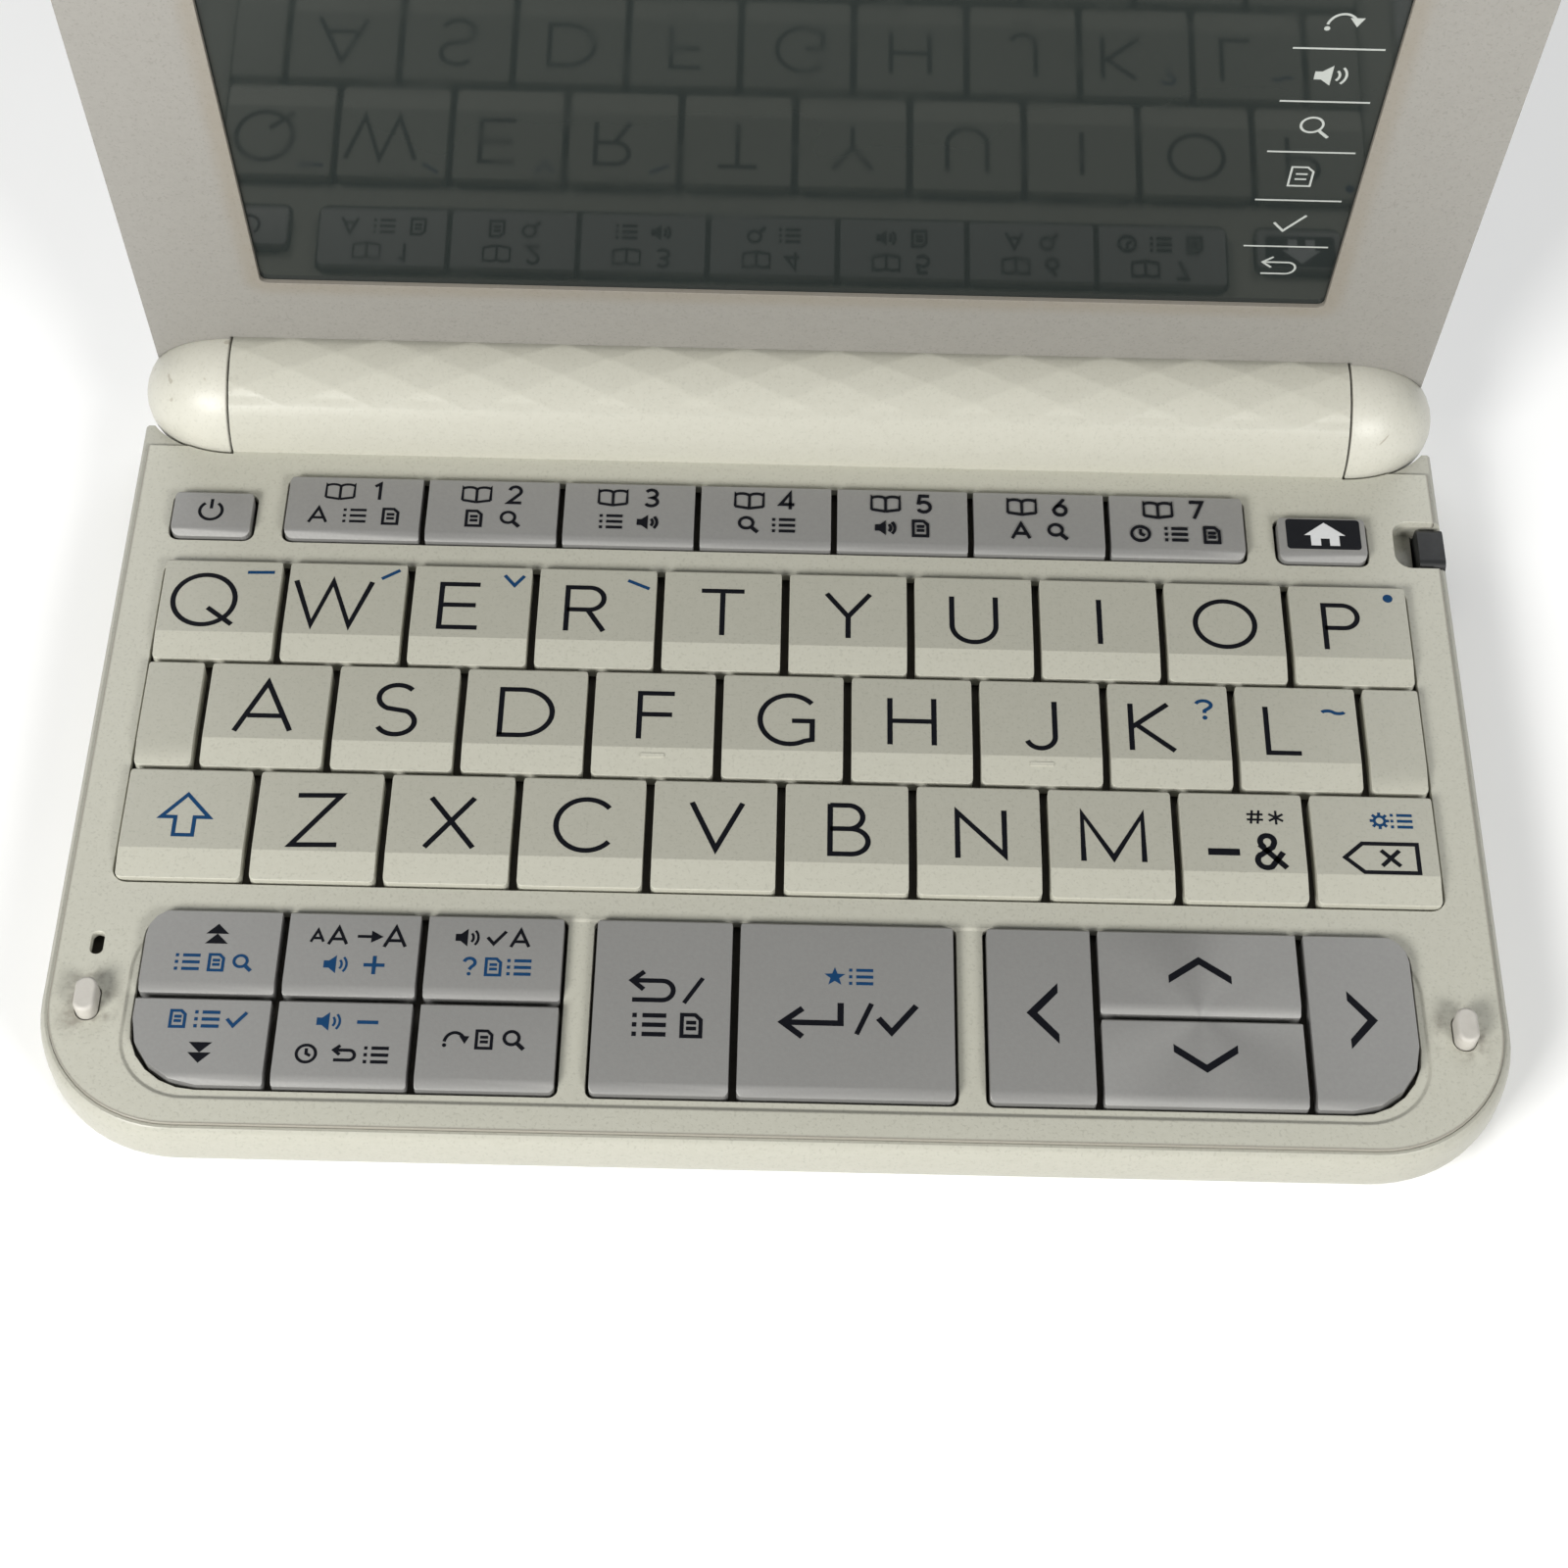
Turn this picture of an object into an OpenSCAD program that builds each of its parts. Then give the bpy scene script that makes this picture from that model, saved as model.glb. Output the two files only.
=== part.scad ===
// Clamshell electronic dictionary, drawn with its lid standing open.
// Millimetres. Table at z 0, front edge towards -Y, lid hinge along X at the back.

/* [Body] */
// Overall width of the lower body
body_w = 148; // [130:0.5:170]
// Front edge of the body to the hinge axis
hinge_back = 94.3; // [80:0.1:110]
// Radius of the two front corners in plan
corner_r = 15; // [4:0.5:20]
// Underside of the body above the table
foot_h = 0.4; // [0.2:0.1:1.5]
// Top of the keyboard plate above the table
plate_top = 8.5; // [7.5:0.1:12]
// Thickness of the keyboard plate
plate_t = 1.0; // [0.8:0.1:1.5]
// Width of the lower case rim seen around the plate
rim_w = 1.0; // [0.6:0.1:2]
// Wall thickness of the lower case
wall = 1.8; // [1.2:0.1:3]

/* [Hinge] */
// Clearance around the cells in the barrel
cell_space = 0.25; // [0.1:0.05:1]
// Wall thickness of the barrel
barrel_wall = 0.9; // [0.7:0.1:1.5]
// Gap between barrel and end caps
cap_gap = 0.3; // [0.2:0.05:0.6]
// How much smaller in radius the end caps are than the barrel
cap_step = 0.2; // [0:0.1:1]
// Share of the room beside the cells that one end cap takes
cap_share = 0.5; // [0.4:0.01:0.6]
// Radius of the steel hinge shafts
shaft_r = 2.5; // [1.5:0.1:3.5]
// Running clearance around the hinge shafts
shaft_fit = 0.05; // [0.02:0.01:0.1]
// How far the lid stands open as drawn, in degrees
lid_open = 84; // [0:1:154]

/* [Lid] */
// Step from the side of the body in to the side of the lid
lid_side = 1.4; // [0.5:0.1:3]
// How much shorter the lid is than the body in front of the hinge
lid_short = 0.1; // [0:0.1:2]
// Bezel face to the hinge axis, with the lid closed
bezel_h = 1.9; // [1.2:0.1:3]
// Outer face of the lid to the hinge axis, with the lid closed
lid_h = 7.4; // [6.5:0.1:9]
// Thickness of the bezel plate
bezel_t = 1.2; // [1:0.1:2]
// Depth of the screen below the bezel face
screen_sink = 0.6; // [0.2:0.1:1]
// Side of the lid to the side of the screen window
window_side = 14.1; // [10:0.1:25]
// Free edge of the lid to the far edge of the window
window_far = 8.2; // [5:0.1:20]
// Hinge axis to the near edge of the window
window_near = 18.5; // [14:0.1:24]
// Thickness of the touch glass
glass_t = 1.1; // [0.7:0.1:1.5]
// Clearance between the lid and the turning side of the barrel
barrel_clear = 0.25; // [0.2:0.05:0.6]

/* [Keys] */
// Side of the body to the letter key block
key_side = 5.2; // [3:0.1:12]
// Gap between two letter keys in a row
key_gap = 0.9; // [0.5:0.05:1.5]
// Gap between two key rows
row_gap = 0.7; // [0.5:0.05:1.5]
// Front edge of the body to the silver keys
front_margin = 5.15; // [4:0.05:9]
// Front edge to back edge of the silver keys
silver_depth = 19.7; // [15:0.1:24]
// Silver keys to the letter key block
silver_space = 3.99; // [3.5:0.01:7]
// Letter key block to the dictionary keys
dict_space = 3.75; // [3.5:0.05:6]
// Front edge to back edge of the dictionary keys
dict_depth = 8.5; // [6.5:0.1:10]
// Dictionary keys to the hinge axis
back_margin = 12.3; // [11:0.1:15]
// Height of the key tops above the table
key_top = 9.4; // [8.8:0.1:10.5]
// Travel of a letter key
key_travel = 0.8; // [0.4:0.1:1.2]
// Radius of a key stem
stem_r = 1.5; // [1:0.1:2]
// Clearance of a key stem in the key sheet
stem_clear = 0.25; // [0.2:0.05:0.4]
// Clearance between a key group and its opening
pocket_clear = 0.35; // [0.3:0.05:0.6]

/* [Power] */
// Radius of one AA cell
cell_r = 7.25; // [7:0.05:7.25]
// Length of one AA cell with its pole
cell_len = 50.5; // [49:0.1:50.5]
// How far the battery cover reaches past the end of each cell
cover_lap = 3; // [2.7:0.1:4]

/* [Stylus] */
// Radius of the stylus rod
rod_r = 1.6; // [1.2:0.1:2]
// Running clearance of the rod in its guides
rod_fit = 0.1; // [0.05:0.01:0.1]
// Length of the whole stylus
stylus_len = 84.8; // [70:0.2:95]
// Width of the stylus head
head_w = 5.6; // [4:0.1:7]

/* [Hidden] */
$fn = 48;
eps = 0.01;
barrel_in = cell_r + cell_space;
barrel_r = barrel_in + barrel_wall;
cap_r = barrel_r - cap_step;
axis_z = foot_h + barrel_r;
depth = hinge_back + barrel_r;
front_y = -depth / 2;
axis_y = front_y + hinge_back;
plate_under = plate_top - plate_t;
floor_top = foot_h + 1.0;
rim_top = plate_top - 0.3;
end_t = 2.95;
beyond = body_w;
side = body_w / 2;
cap_len = cap_share * (side - cell_len - 2.6);
barrel_half = side - 0.1 - cap_len - cap_gap;
cap_x = barrel_half + cap_gap;
shaft_in = 0.555 * cap_len;
cover_half = cell_len + cover_lap;
cover_front = 0.58 * barrel_r;
tongue_front = cover_front + 1.35;
wall_x = cell_len + 2.2;
lid_w = body_w - 2 * lid_side;
lid_len = hinge_back - lid_short;
window_w = lid_w - 2 * window_side;
window_l = lid_len - window_near - window_far;
cut_grow = 0.4;
side_end = 4.5;
sheet_z = 5.3;
sheet_t = 0.8;
sheet_top = sheet_z + sheet_t;
board_z = 3.0;
board_t = 1.0;
board_top = board_z + board_t;
cap_under = sheet_top + 1.1;
silver_front = front_y + front_margin;
silver_back = silver_front + silver_depth;
dict_back = axis_y - back_margin;
dict_front = dict_back - dict_depth;
block_back = dict_front - dict_space;
key_pitch = (body_w - 2 * key_side) / 10;
row_pitch = (block_back - silver_back - silver_space + row_gap) / 3;
row_back = [for (i = [0:2]) block_back - i * row_pitch];
row_front = [for (b = row_back) b - row_pitch + row_gap];
block_half = 5 * key_pitch - key_gap / 2;
band_len = 3.3;
band_drop = 0.55;
silver_mid = (silver_front + silver_back) / 2;
silver_seam = 0.4;
dict_left = 18 - side;
dict_right = side - 22.8;
dict_pitch = (dict_right - dict_left) / 7;
dict_stem_y = dict_back - 2.6;
side_key_back = dict_back - 2.6;
side_key_front = dict_front;
stylus_y = dict_front + 2.95;
stylus_z = 3.2;
stylus_end = side - 0.2;
head_len = 2.9;
recess_w = 6.5;
recess_x = side - 5.9;
shelf_z = 6.0;
screw_spots = [for (s = [-1, 1]) each [
    [s * (side - 17), block_back + dict_space / 2], [s * (side - 19), silver_back + silver_space / 2]]];
boss_r = 1.3;
bore_r = 0.75;
screw_r = 0.7;
pad_x = side - 5.1;
pad_y = silver_mid - 0.7;
pad_l = 1.95;
mic_x = 5 - side;
mic_y = silver_back - 3.65;
speaker_x = 30 - side;
speaker_y = axis_y - 15.5;
speaker_r = 6.4;
foot_spots = [for (s = [-1, 1]) each [[s * (side - 14), front_y + 9], [s * (side - 15), block_back - 5.75]]];
board_front = front_y + 5.5;
board_back = block_back - 0.55;
board_x = side - 6;
foot_r = 4;
body_edge = concat(
    [for (a = [90:-18:0]) [3.0 * (1 - cos(a)), foot_h + 3.6 * (1 - sin(a))]],
    [for (a = [0:30:90]) [0.7 * (1 - cos(a)), rim_top - 2.4 * (1 - sin(a))]]);
lid_edge = concat([[0, bezel_h + bezel_t]],
    [for (a = [0:22.5:90]) [1.8 * (1 - cos(a)), lid_h - 2.2 * (1 - sin(a))]]);
lid_in_z = lid_h - 1.2;
lid_arm_end = -2.5;
lid_solid = barrel_r + 2.6;
ivory = [0.91, 0.90, 0.84];
pearl = [0.86, 0.85, 0.81];
silver = [0.68, 0.68, 0.67];
dark = [0.16, 0.16, 0.17];
steel = [0.72, 0.73, 0.75];

// Points of one rounded corner.
function arc(cx, cy, r, a, n) =
    [for (i = [0:n]) [cx + r * cos(a + 90 * i / n), cy + r * sin(a + 90 * i / n)]];

// Four equal corner radii.
function same(r) = [r, r, r, r];

// Outline with four corner radii: front left, front right, back right, back left.
function frame4(x0, x1, y0, y1, r, n) = concat(
    arc(x0 + r[0], y0 + r[0], r[0], 180, n),
    arc(x1 - r[1], y0 + r[1], r[1], 270, n),
    arc(x1 - r[2], y1 - r[2], r[2], 0, n),
    arc(x0 + r[3], y1 - r[3], r[3], 90, n));

module box(x0, x1, y0, y1, z0, z1) {
    translate([x0, y0, z0]) cube([x1 - x0, y1 - y0, z1 - z0]);
}

// Upright pin or bore.
module pin(p, r, z0, z1) {
    translate([p[0], p[1], z0]) cylinder(r = r, h = z1 - z0);
}

// Rod along X about the hinge axis.
module axle(r, x0, x1) {
    translate([x0, axis_y, axis_z]) rotate([0, 90, 0]) cylinder(r = r, h = x1 - x0);
}

// Solid with two rounded front corners. The edge lists [inset, height] pairs from below.
module soft_shell(w, y0, y1, edge) {
    r = corner_r;
    low = edge[0][1];
    high = edge[len(edge) - 1][1];
    for (s = [-1, 1]) translate([s * (w - r), y0 + r, 0]) rotate_extrude($fn = 72)
        polygon(concat([[0, low]], [for (e = edge) [r - e[0], e[1]]], [[0, high]]));
    translate([0, y1, 0]) rotate([90, 0, 0]) linear_extrude(y1 - y0 - r)
        polygon(concat([for (e = edge) [w - e[0], e[1]]],
            [for (i = [len(edge) - 1:-1:0]) [edge[i][0] - w, edge[i][1]]]));
    translate([r - w, 0, 0]) rotate([90, 0, 90]) linear_extrude(2 * (w - r))
        polygon(concat([for (e = edge) [y0 + e[0], e[1]]], [[y0 + r + 1, high], [y0 + r + 1, low]]));
}

module body_outline(inset) {
    w = side - inset;
    r = corner_r - inset;
    polygon(frame4(-w, w, front_y + inset, axis_y, [r, r, eps, eps], 14));
}

// Room the end caps turn in, taken out of the rear corners of the body.
module cap_room(grow) {
    for (s = [-1, 1]) {
        translate([s * barrel_half, axis_y]) intersection() {
            scale([(cap_len + cut_grow + cap_gap + grow) / (cap_r + cut_grow + grow), 1])
                circle(r = cap_r + cut_grow + grow);
            translate([s > 0 ? 0 : -beyond, -beyond]) square([beyond, 2 * beyond]);
        }
        x = barrel_half + cap_len - 2.45;
        translate([s > 0 ? x : -x - beyond, axis_y - side_end - grow]) square(beyond);
        translate([s > 0 ? barrel_half : -barrel_half - beyond, axis_y]) square(beyond);
    }
}

// Half ellipsoid of an end cap, standing on the plane x = 0 and pointing to +X.
module cap_solid(r, l) {
    rotate([0, 90, 0]) rotate_extrude()
        polygon(concat([[0, 0]], [for (a = [0:7.5:90]) [r * cos(a), l * sin(a)]]));
}

// A key cap: rounded outline, flat top, sloping band along the front.
module cap_form(x0, x1, y0, y1, r, band, drop) {
    intersection() {
        translate([0, 0, cap_under]) linear_extrude(key_top - cap_under)
            polygon(frame4(x0, x1, y0, y1, r, 4));
        translate([x0 - 1, 0, 0]) rotate([90, 0, 90]) linear_extrude(x1 - x0 + 2)
            polygon([[y0 - 1, cap_under - 1], [y1 + 1, cap_under - 1], [y1 + 1, key_top - 0.25],
                [y1, key_top - 0.25], [y1 - 0.25, key_top], [y0 + band, key_top],
                [y0, key_top - drop], [y0 - 1, key_top - drop]]);
    }
}

module stem(x, y, z) {
    pin([x, y], stem_r, z, cap_under + 0.5);
}

// Letter key: col counts key widths from the middle, row 0 is the back row.
module letter_key(col, row) {
    x = col * key_pitch;
    h = (key_pitch - key_gap) / 2;
    cap_form(x - h, x + h, row_front[row], row_back[row], same(0.6), band_len, band_drop);
    stem(x, (row_front[row] + row_back[row]) / 2, board_top + key_travel + 0.1);
}

module silver_key(x0, x1, y0, y1, r) {
    cap_form(x0, x1, y0, y1, r, 1.1, 0.6);
    stem((x0 + x1) / 2, (y0 + y1) / 2, board_top + key_travel + 0.1);
}

// Small key of the back row, its stem kept clear of the stylus below.
module back_row_key(x0, x1, y0, y1, ys) {
    cap_form(x0, x1, y0, y1, same(0.9), 0.9, 0.7);
    stem((x0 + x1) / 2, ys, sheet_top - 0.2);
}

// Stem places of all keys, for the holes of the key sheet.
letter_spots = concat(
    [for (c = [-4.5:1:4.5]) [c * key_pitch, (row_front[0] + row_back[0]) / 2]],
    [for (c = [-4:1:4]) [c * key_pitch, (row_front[1] + row_back[1]) / 2]],
    [for (c = [-4.5:1:4.5]) [c * key_pitch, (row_front[2] + row_back[2]) / 2]]);
function across(places) = [for (x = places) x * body_w / 148];
silver_x = across([-64.0, -50.05, -35.95, -21.8]);
wide_x = across([-18.4, -4.25, 17.75]);
arrow_x = across([21.15, 32.05, 53.0, 64.0]);
sheet_posts = [silver_x[1], mid(silver_x[3], wide_x[0]), mid(wide_x[2], arrow_x[0]), arrow_x[2]];
silver_y = [[silver_mid + silver_seam, silver_back], [silver_front, silver_mid - silver_seam]];
function mid(a, b) = (a + b) / 2;
silver_spots = concat(
    [for (i = [0:2], y = silver_y) [mid(fn_left(i), fn_right(i)), mid(y[0], y[1])]],
    [for (i = [0:1]) [mid(wide_left(i), wide_right(i)), mid(silver_front, silver_back)]],
    [for (i = [0, 2]) [mid(arrow_left(i), arrow_right(i)), mid(silver_front, silver_back)]],
    [for (y = silver_y) [mid(arrow_left(1), arrow_right(1)), mid(y[0], y[1])]]);
dict_spots = [for (i = [0:6]) [dict_left + (i + 0.5) * dict_pitch, dict_stem_y]];
power_x = [5.4 - side, 14.2 - side];
home_x = [side - 19, side - 9.2];
side_stem_y = side_key_front + 2.0;
small_spots = [[mid(power_x[0], power_x[1]), side_stem_y], [mid(home_x[0], home_x[1]), side_stem_y]];
function fn_left(i) = silver_x[i] + (i > 0 ? silver_seam : 0);
function fn_right(i) = silver_x[i + 1] - (i < 2 ? silver_seam : 0);
function wide_left(i) = wide_x[i] + (i > 0 ? silver_seam : 0);
function wide_right(i) = wide_x[i + 1] - (i < 1 ? silver_seam : 0);
function arrow_left(i) = arrow_x[i] + (i > 0 ? silver_seam : 0);
function arrow_right(i) = arrow_x[i + 1] - (i < 2 ? silver_seam : 0);

// Lower half of the body: a tub with the battery bay along its back edge.
module lower_case() color(ivory) {
    difference() {
        union() {
            soft_shell(side, front_y, axis_y, body_edge);
            intersection() {
                axle(barrel_r, -barrel_half, barrel_half);
                box(-beyond, beyond, axis_y - 1, axis_y + 20, 0, plate_top);
            }
        }
        difference() {
            translate([0, 0, floor_top]) linear_extrude(20) difference() {
                body_outline(wall);
                cap_room(1.2);
                translate([-beyond, axis_y - barrel_r]) square(2 * beyond);
            }
            for (p = screw_spots) pin(p, 2.4, 0, board_z);
            for (x = across([-40, 0, 40]), y = [board_front + 7.85, board_back - 5.85])
                pin([x, y], 1.5, 0, board_z);
            stylus_guides();
        }
        translate([0, 0, plate_under]) linear_extrude(20) difference() {
            body_outline(rim_w);
            translate([-beyond, axis_y - barrel_in - 0.1]) square(2 * beyond);
        }
        translate([0, 0, -1]) linear_extrude(30) cap_room(0);
        axle(barrel_in, -barrel_half - 1, barrel_half + 1);
        box(-barrel_half - 1, barrel_half + 1, axis_y - barrel_in - 0.1, axis_y, floor_top, 20);
        battery_opening();
        translate([stylus_end - stylus_len - 1, stylus_y, stylus_z]) rotate([0, 90, 0])
            cylinder(r = rod_r + rod_fit, h = stylus_len + 5);
        box(stylus_end - head_len - 0.3, beyond, stylus_y - head_w / 2 - 0.25, stylus_y + head_w / 2 + 0.25,
            floor_top + 0.1, 20);
        box(recess_x, beyond, stylus_y - recess_w / 2, stylus_y + recess_w / 2, shelf_z, 20);
        for (p = screw_spots) {
            pin(p, 1.6, 0, floor_top + 0.3);
            pin(p, 0.85, 0, board_z + 1);
        }
        for (p = foot_spots) pin(p, foot_r + 0.1, 0, foot_h + 0.4);
        for (a = [0:60:300]) pin([speaker_x + 3.4 * cos(a), speaker_y + 3.4 * sin(a)], 0.8, 0, 3);
        pin([speaker_x, speaker_y], 0.8, 0, 3);
    }
}

// Blocks inside the lower case that guide the stylus rod and carry the finger shelf.
module stylus_guides() {
    y0 = stylus_y - 2.6;
    y1 = stylus_y + 2.6;
    x0 = stylus_end - stylus_len;
    x1 = stylus_end - stylus_len / 2 - 2;
    box(x0 - 3.5, x0 + 3, y0, y1, 0, sheet_z - 0.1);
    box(x1 - 3, x1, y0, y1, 0, sheet_z - 0.1);
    box(recess_x - 2.4, beyond, stylus_y - recess_w / 2 - 1, stylus_y + recess_w / 2 + 1, 0, plate_under);
}

// Opening of the battery bay with the ledge the cover tongues slide on.
module battery_opening() {
    h = cover_half + 0.15;
    box(-h, h, axis_y - cover_front - 0.15, axis_y + 20, -1, floor_top + 0.5);
    box(-h, h, axis_y - 1, axis_y + 20, -1, 20);
    box(-h - 1.1, h + 1.1, axis_y - tongue_front - 0.2, axis_y + 20, foot_h + 0.35,
        floor_top + eps);
}

// Opening of the keyboard plate around a group of keys.
module opening(x0, x1, y0, y1, r) {
    c = pocket_clear;
    polygon(frame4(x0 - c, x1 + c, y0 - c, y1 + c, r, 6));
}

// Keyboard plate with its openings and screw bosses.
module upper_case() color(ivory) {
    difference() {
        union() {
            translate([0, 0, plate_under]) linear_extrude(plate_t) difference() {
                body_outline(rim_w + 0.05);
                translate([-beyond, axis_y - barrel_in - 0.1]) square(2 * beyond);
                cap_room(0);
                translate([recess_x, stylus_y - recess_w / 2])
                    polygon(frame4(0, 20, 0, recess_w, [1.8, 0.1, 0.1, 1.8], 6));
                opening(-block_half, block_half, row_front[2], row_back[0], same(1.6));
                opening(silver_x[0], silver_x[3], silver_front, silver_back, [7.3, 0.9, 0.9, 3.3]);
                opening(wide_x[0], wide_x[2], silver_front, silver_back, same(0.9));
                opening(arrow_x[0], arrow_x[3], silver_front, silver_back, [0.9, 7.3, 3.3, 0.9]);
                opening(dict_left, dict_right, dict_front, dict_back, same(1.2));
                opening(power_x[0], power_x[1], side_key_front, side_key_back, same(1.2));
                opening(home_x[0], home_x[1], side_key_front, side_key_back, same(1.2));
                polygon(frame4(mic_x - 0.65, mic_x + 0.65, mic_y - 1.3, mic_y + 1.3, same(0.6), 5));
            }
            for (p = screw_spots) pin(p, boss_r, board_z, plate_top - 0.2);
        }
        for (p = screw_spots) pin(p, bore_r, board_z - 1, plate_under - 0.4);
        for (s = [-1, 1]) translate([s * pad_x, pad_y, plate_top - 0.4]) linear_extrude(2)
            polygon(frame4(-1.2, 1.2, -pad_l - 0.1, pad_l + 0.1, same(1.15), 8));
    }
}

// Upper shell of the battery barrel with its bearing walls and cell partitions.
module hinge_barrel() color(ivory) {
    difference() {
        union() {
            intersection() {
                difference() {
                    axle(barrel_r, -barrel_half, barrel_half);
                    axle(barrel_in, -barrel_half - 1, barrel_half + 1);
                }
                box(-beyond, beyond, axis_y - 20, axis_y + 20, plate_top, 40);
            }
            for (s = [-1, 1]) {
                m = s * (barrel_half - end_t / 2);
                axle(barrel_in - 0.12, m - end_t / 2, m + end_t / 2);
                axle(barrel_in - 0.12, s * wall_x - 0.5, s * wall_x + 0.5);
            }
            intersection() {
                axle(barrel_in + 0.1, -barrel_half, barrel_half);
                union() {
                    for (s = [-1, 1]) {
                        m = s * (barrel_half - end_t / 2);
                        box(m - end_t / 2, m + end_t / 2, axis_y - 20, axis_y + 20, axis_z, 40);
                        box(s * wall_x - 0.5, s * wall_x + 0.5, axis_y - 20, axis_y + 20, axis_z, 40);
                    }
                }
            }
        }
        axle(shaft_r + shaft_fit, -barrel_half - 1, -barrel_half + 4);
        axle(shaft_r + shaft_fit, barrel_half - 4, barrel_half + 1);
    }
}

// Cover of the battery bay: flat along the underside, then round the back.
module battery_cover() color(ivory) {
    box(-cover_half, cover_half, axis_y - cover_front, axis_y + eps, foot_h, floor_top - 0.1);
    box(-cover_half - 1, cover_half + 1, axis_y - tongue_front, axis_y - 0.5, foot_h + 0.5,
        floor_top - 0.1);
    intersection() {
        difference() {
            axle(barrel_r, -cover_half, cover_half);
            axle(barrel_in, -cover_half - 1, cover_half + 1);
        }
        box(-beyond, beyond, axis_y, axis_y + 20, -1, plate_top - 0.3);
    }
}

// Two AA cells lying in line.
module battery_cells() color(dark) {
    for (x = [-cell_len - 0.2, -0.2]) {
        axle(cell_r, x, x + cell_len - 1.2);
        axle(2.75, x + 1, x + cell_len);
    }
}

// End contacts: a coned spring at the left, a domed plate at the right.
module battery_contacts() color(steel) {
    far = wall_x - 0.5;
    axle(5.5, -far, 0.4 - far);
    axle(4.4, 0.3 - far, 0.9 - far);
    axle(3.3, 0.8 - far, 1.4 - far);
    axle(5.5, far - 0.4, far);
    axle(2.2, far - 1.7, far - 0.3);
}

// Parts under the board: place across, place along, width, depth, height.
chips = [[-0.25, 0, 14, 14, 1.2], [0.15, 0.02, 12, 10, 1.1], [0.43, -0.04, 10, 10, 1.1],
    [-0.69, 0.08, 6, 8, 1.0], [0.79, 0.15, 8, 10, 1.0]];

// Circuit board with its main components.
module main_board() color([0.10, 0.34, 0.20]) {
    difference() {
        box(-board_x, board_x, board_front, board_back, board_z, board_top);
        for (p = screw_spots) pin(p, boss_r + 0.25, board_z - 1, board_top + 1);
        for (s = [-1, 1]) translate([s * board_x, board_front, 0]) rotate([0, 0, 45])
            box(-6, 6, -6, 6, 0, 9);
    }
    for (c = chips) {
        x = c[0] * board_x;
        y = (board_front + board_back) / 2 + c[1] * (board_back - board_front);
        box(x - c[2] / 2, x + c[2] / 2, y - c[3] / 2, y + c[3] / 2, board_z - c[4], board_z + eps);
    }
}

// Dark rubber sheet that guides the key stems and stands on the board.
module key_mat() color(dark) {
    difference() {
        union() {
            difference() {
                translate([0, 0, sheet_z]) linear_extrude(sheet_t) difference() {
                    body_outline(wall + 0.3);
                    cap_room(1.6);
                    translate([-beyond, axis_y - barrel_r - 0.3]) square(2 * beyond);
                }
                box(recess_x - 2.7, beyond, stylus_y - recess_w / 2 - 1.3, stylus_y + recess_w / 2 + 1.3,
                    0, 20);
            }
            for (k = [-4, -2, 2, 4], r = [0, 1])
                pin([k * key_pitch, row_front[r] - row_gap / 2], 1.0, board_top, sheet_top);
            for (x = sheet_posts) pin([x, silver_front + 4.35], 0.9, board_top, sheet_top);
        }
        for (p = concat(letter_spots, silver_spots, dict_spots, small_spots))
            pin(p, stem_r + stem_clear, sheet_z - 1, sheet_top + 1);
        for (p = screw_spots) pin(p, boss_r + 0.25, sheet_z - 1, sheet_top + 1);
    }
}

// Small loudspeaker behind the holes of the underside.
module speaker() color(dark) {
    pin([speaker_x, speaker_y], speaker_r, floor_top + 0.2, floor_top + 1.6);
    pin([speaker_x, speaker_y], 4.5, floor_top + 1, floor_top + 3);
}

// Round rod with a tapered writing tip and a square head.
module stylus() color([0.25, 0.26, 0.28]) {
    x0 = stylus_end - stylus_len;
    translate([x0, stylus_y, stylus_z]) rotate([0, 90, 0]) rotate_extrude()
        polygon([[0, 0], [0.5, 0], [0.9, 1.2], [1.0, 4], [rod_r, 7],
            [rod_r, stylus_len - head_len + 0.2], [0, stylus_len - head_len + 0.2]]);
    translate([stylus_end - head_len, 0, 0]) rotate([90, 0, 90]) linear_extrude(head_len)
        polygon(frame4(stylus_y - head_w / 2, stylus_y + head_w / 2,
            floor_top + 0.3, plate_top - 0.3, same(1), 4));
}

// Feet under the body and the two pads the closed lid rests on.
module rubber_pads() color([0.75, 0.75, 0.73]) {
    for (p = foot_spots) pin(p, foot_r, 0, foot_h + 0.4);
    for (s = [-1, 1]) translate([0, 0, plate_top - 0.4]) linear_extrude(axis_z + bezel_h - plate_top + 0.15)
        translate([s * pad_x, pad_y]) polygon(frame4(-1.1, 1.1, -pad_l, pad_l, same(1.05), 8));
}

// Four case screws, driven up from below.
module case_screws() color(steel) {
    for (p = screw_spots) {
        pin(p, 1.5, floor_top - 0.6, floor_top + 0.3);
        pin(p, screw_r, floor_top, plate_under - 0.8);
    }
}

// Fixed blank caps that fill the two ends of the middle row.
module blank_caps() color(ivory) {
    for (s = [-1, 1]) {
        inner = 4.5 * key_pitch + key_gap / 2;
        x0 = s > 0 ? inner : -block_half;
        x1 = s > 0 ? block_half : -inner;
        cap_form(x0, x1, row_front[1], row_back[1], same(0.6), band_len, band_drop);
        box(x0 + 1.2, x1 - 1.2, row_front[1] + 2, row_back[1] - 2, sheet_top, cap_under + 0.3);
    }
}

// Places a lid piece, drawn closed about the hinge axis, at its opening angle.
module on_lid() {
    translate([0, axis_y, axis_z]) rotate([-lid_open, 0, 0]) children();
}

module lid_outline(inset) {
    w = lid_w / 2 - inset;
    r = corner_r - inset;
    polygon(frame4(-w, w, -lid_len + inset, lid_arm_end, [r, r, eps, eps], 14));
}

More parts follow.
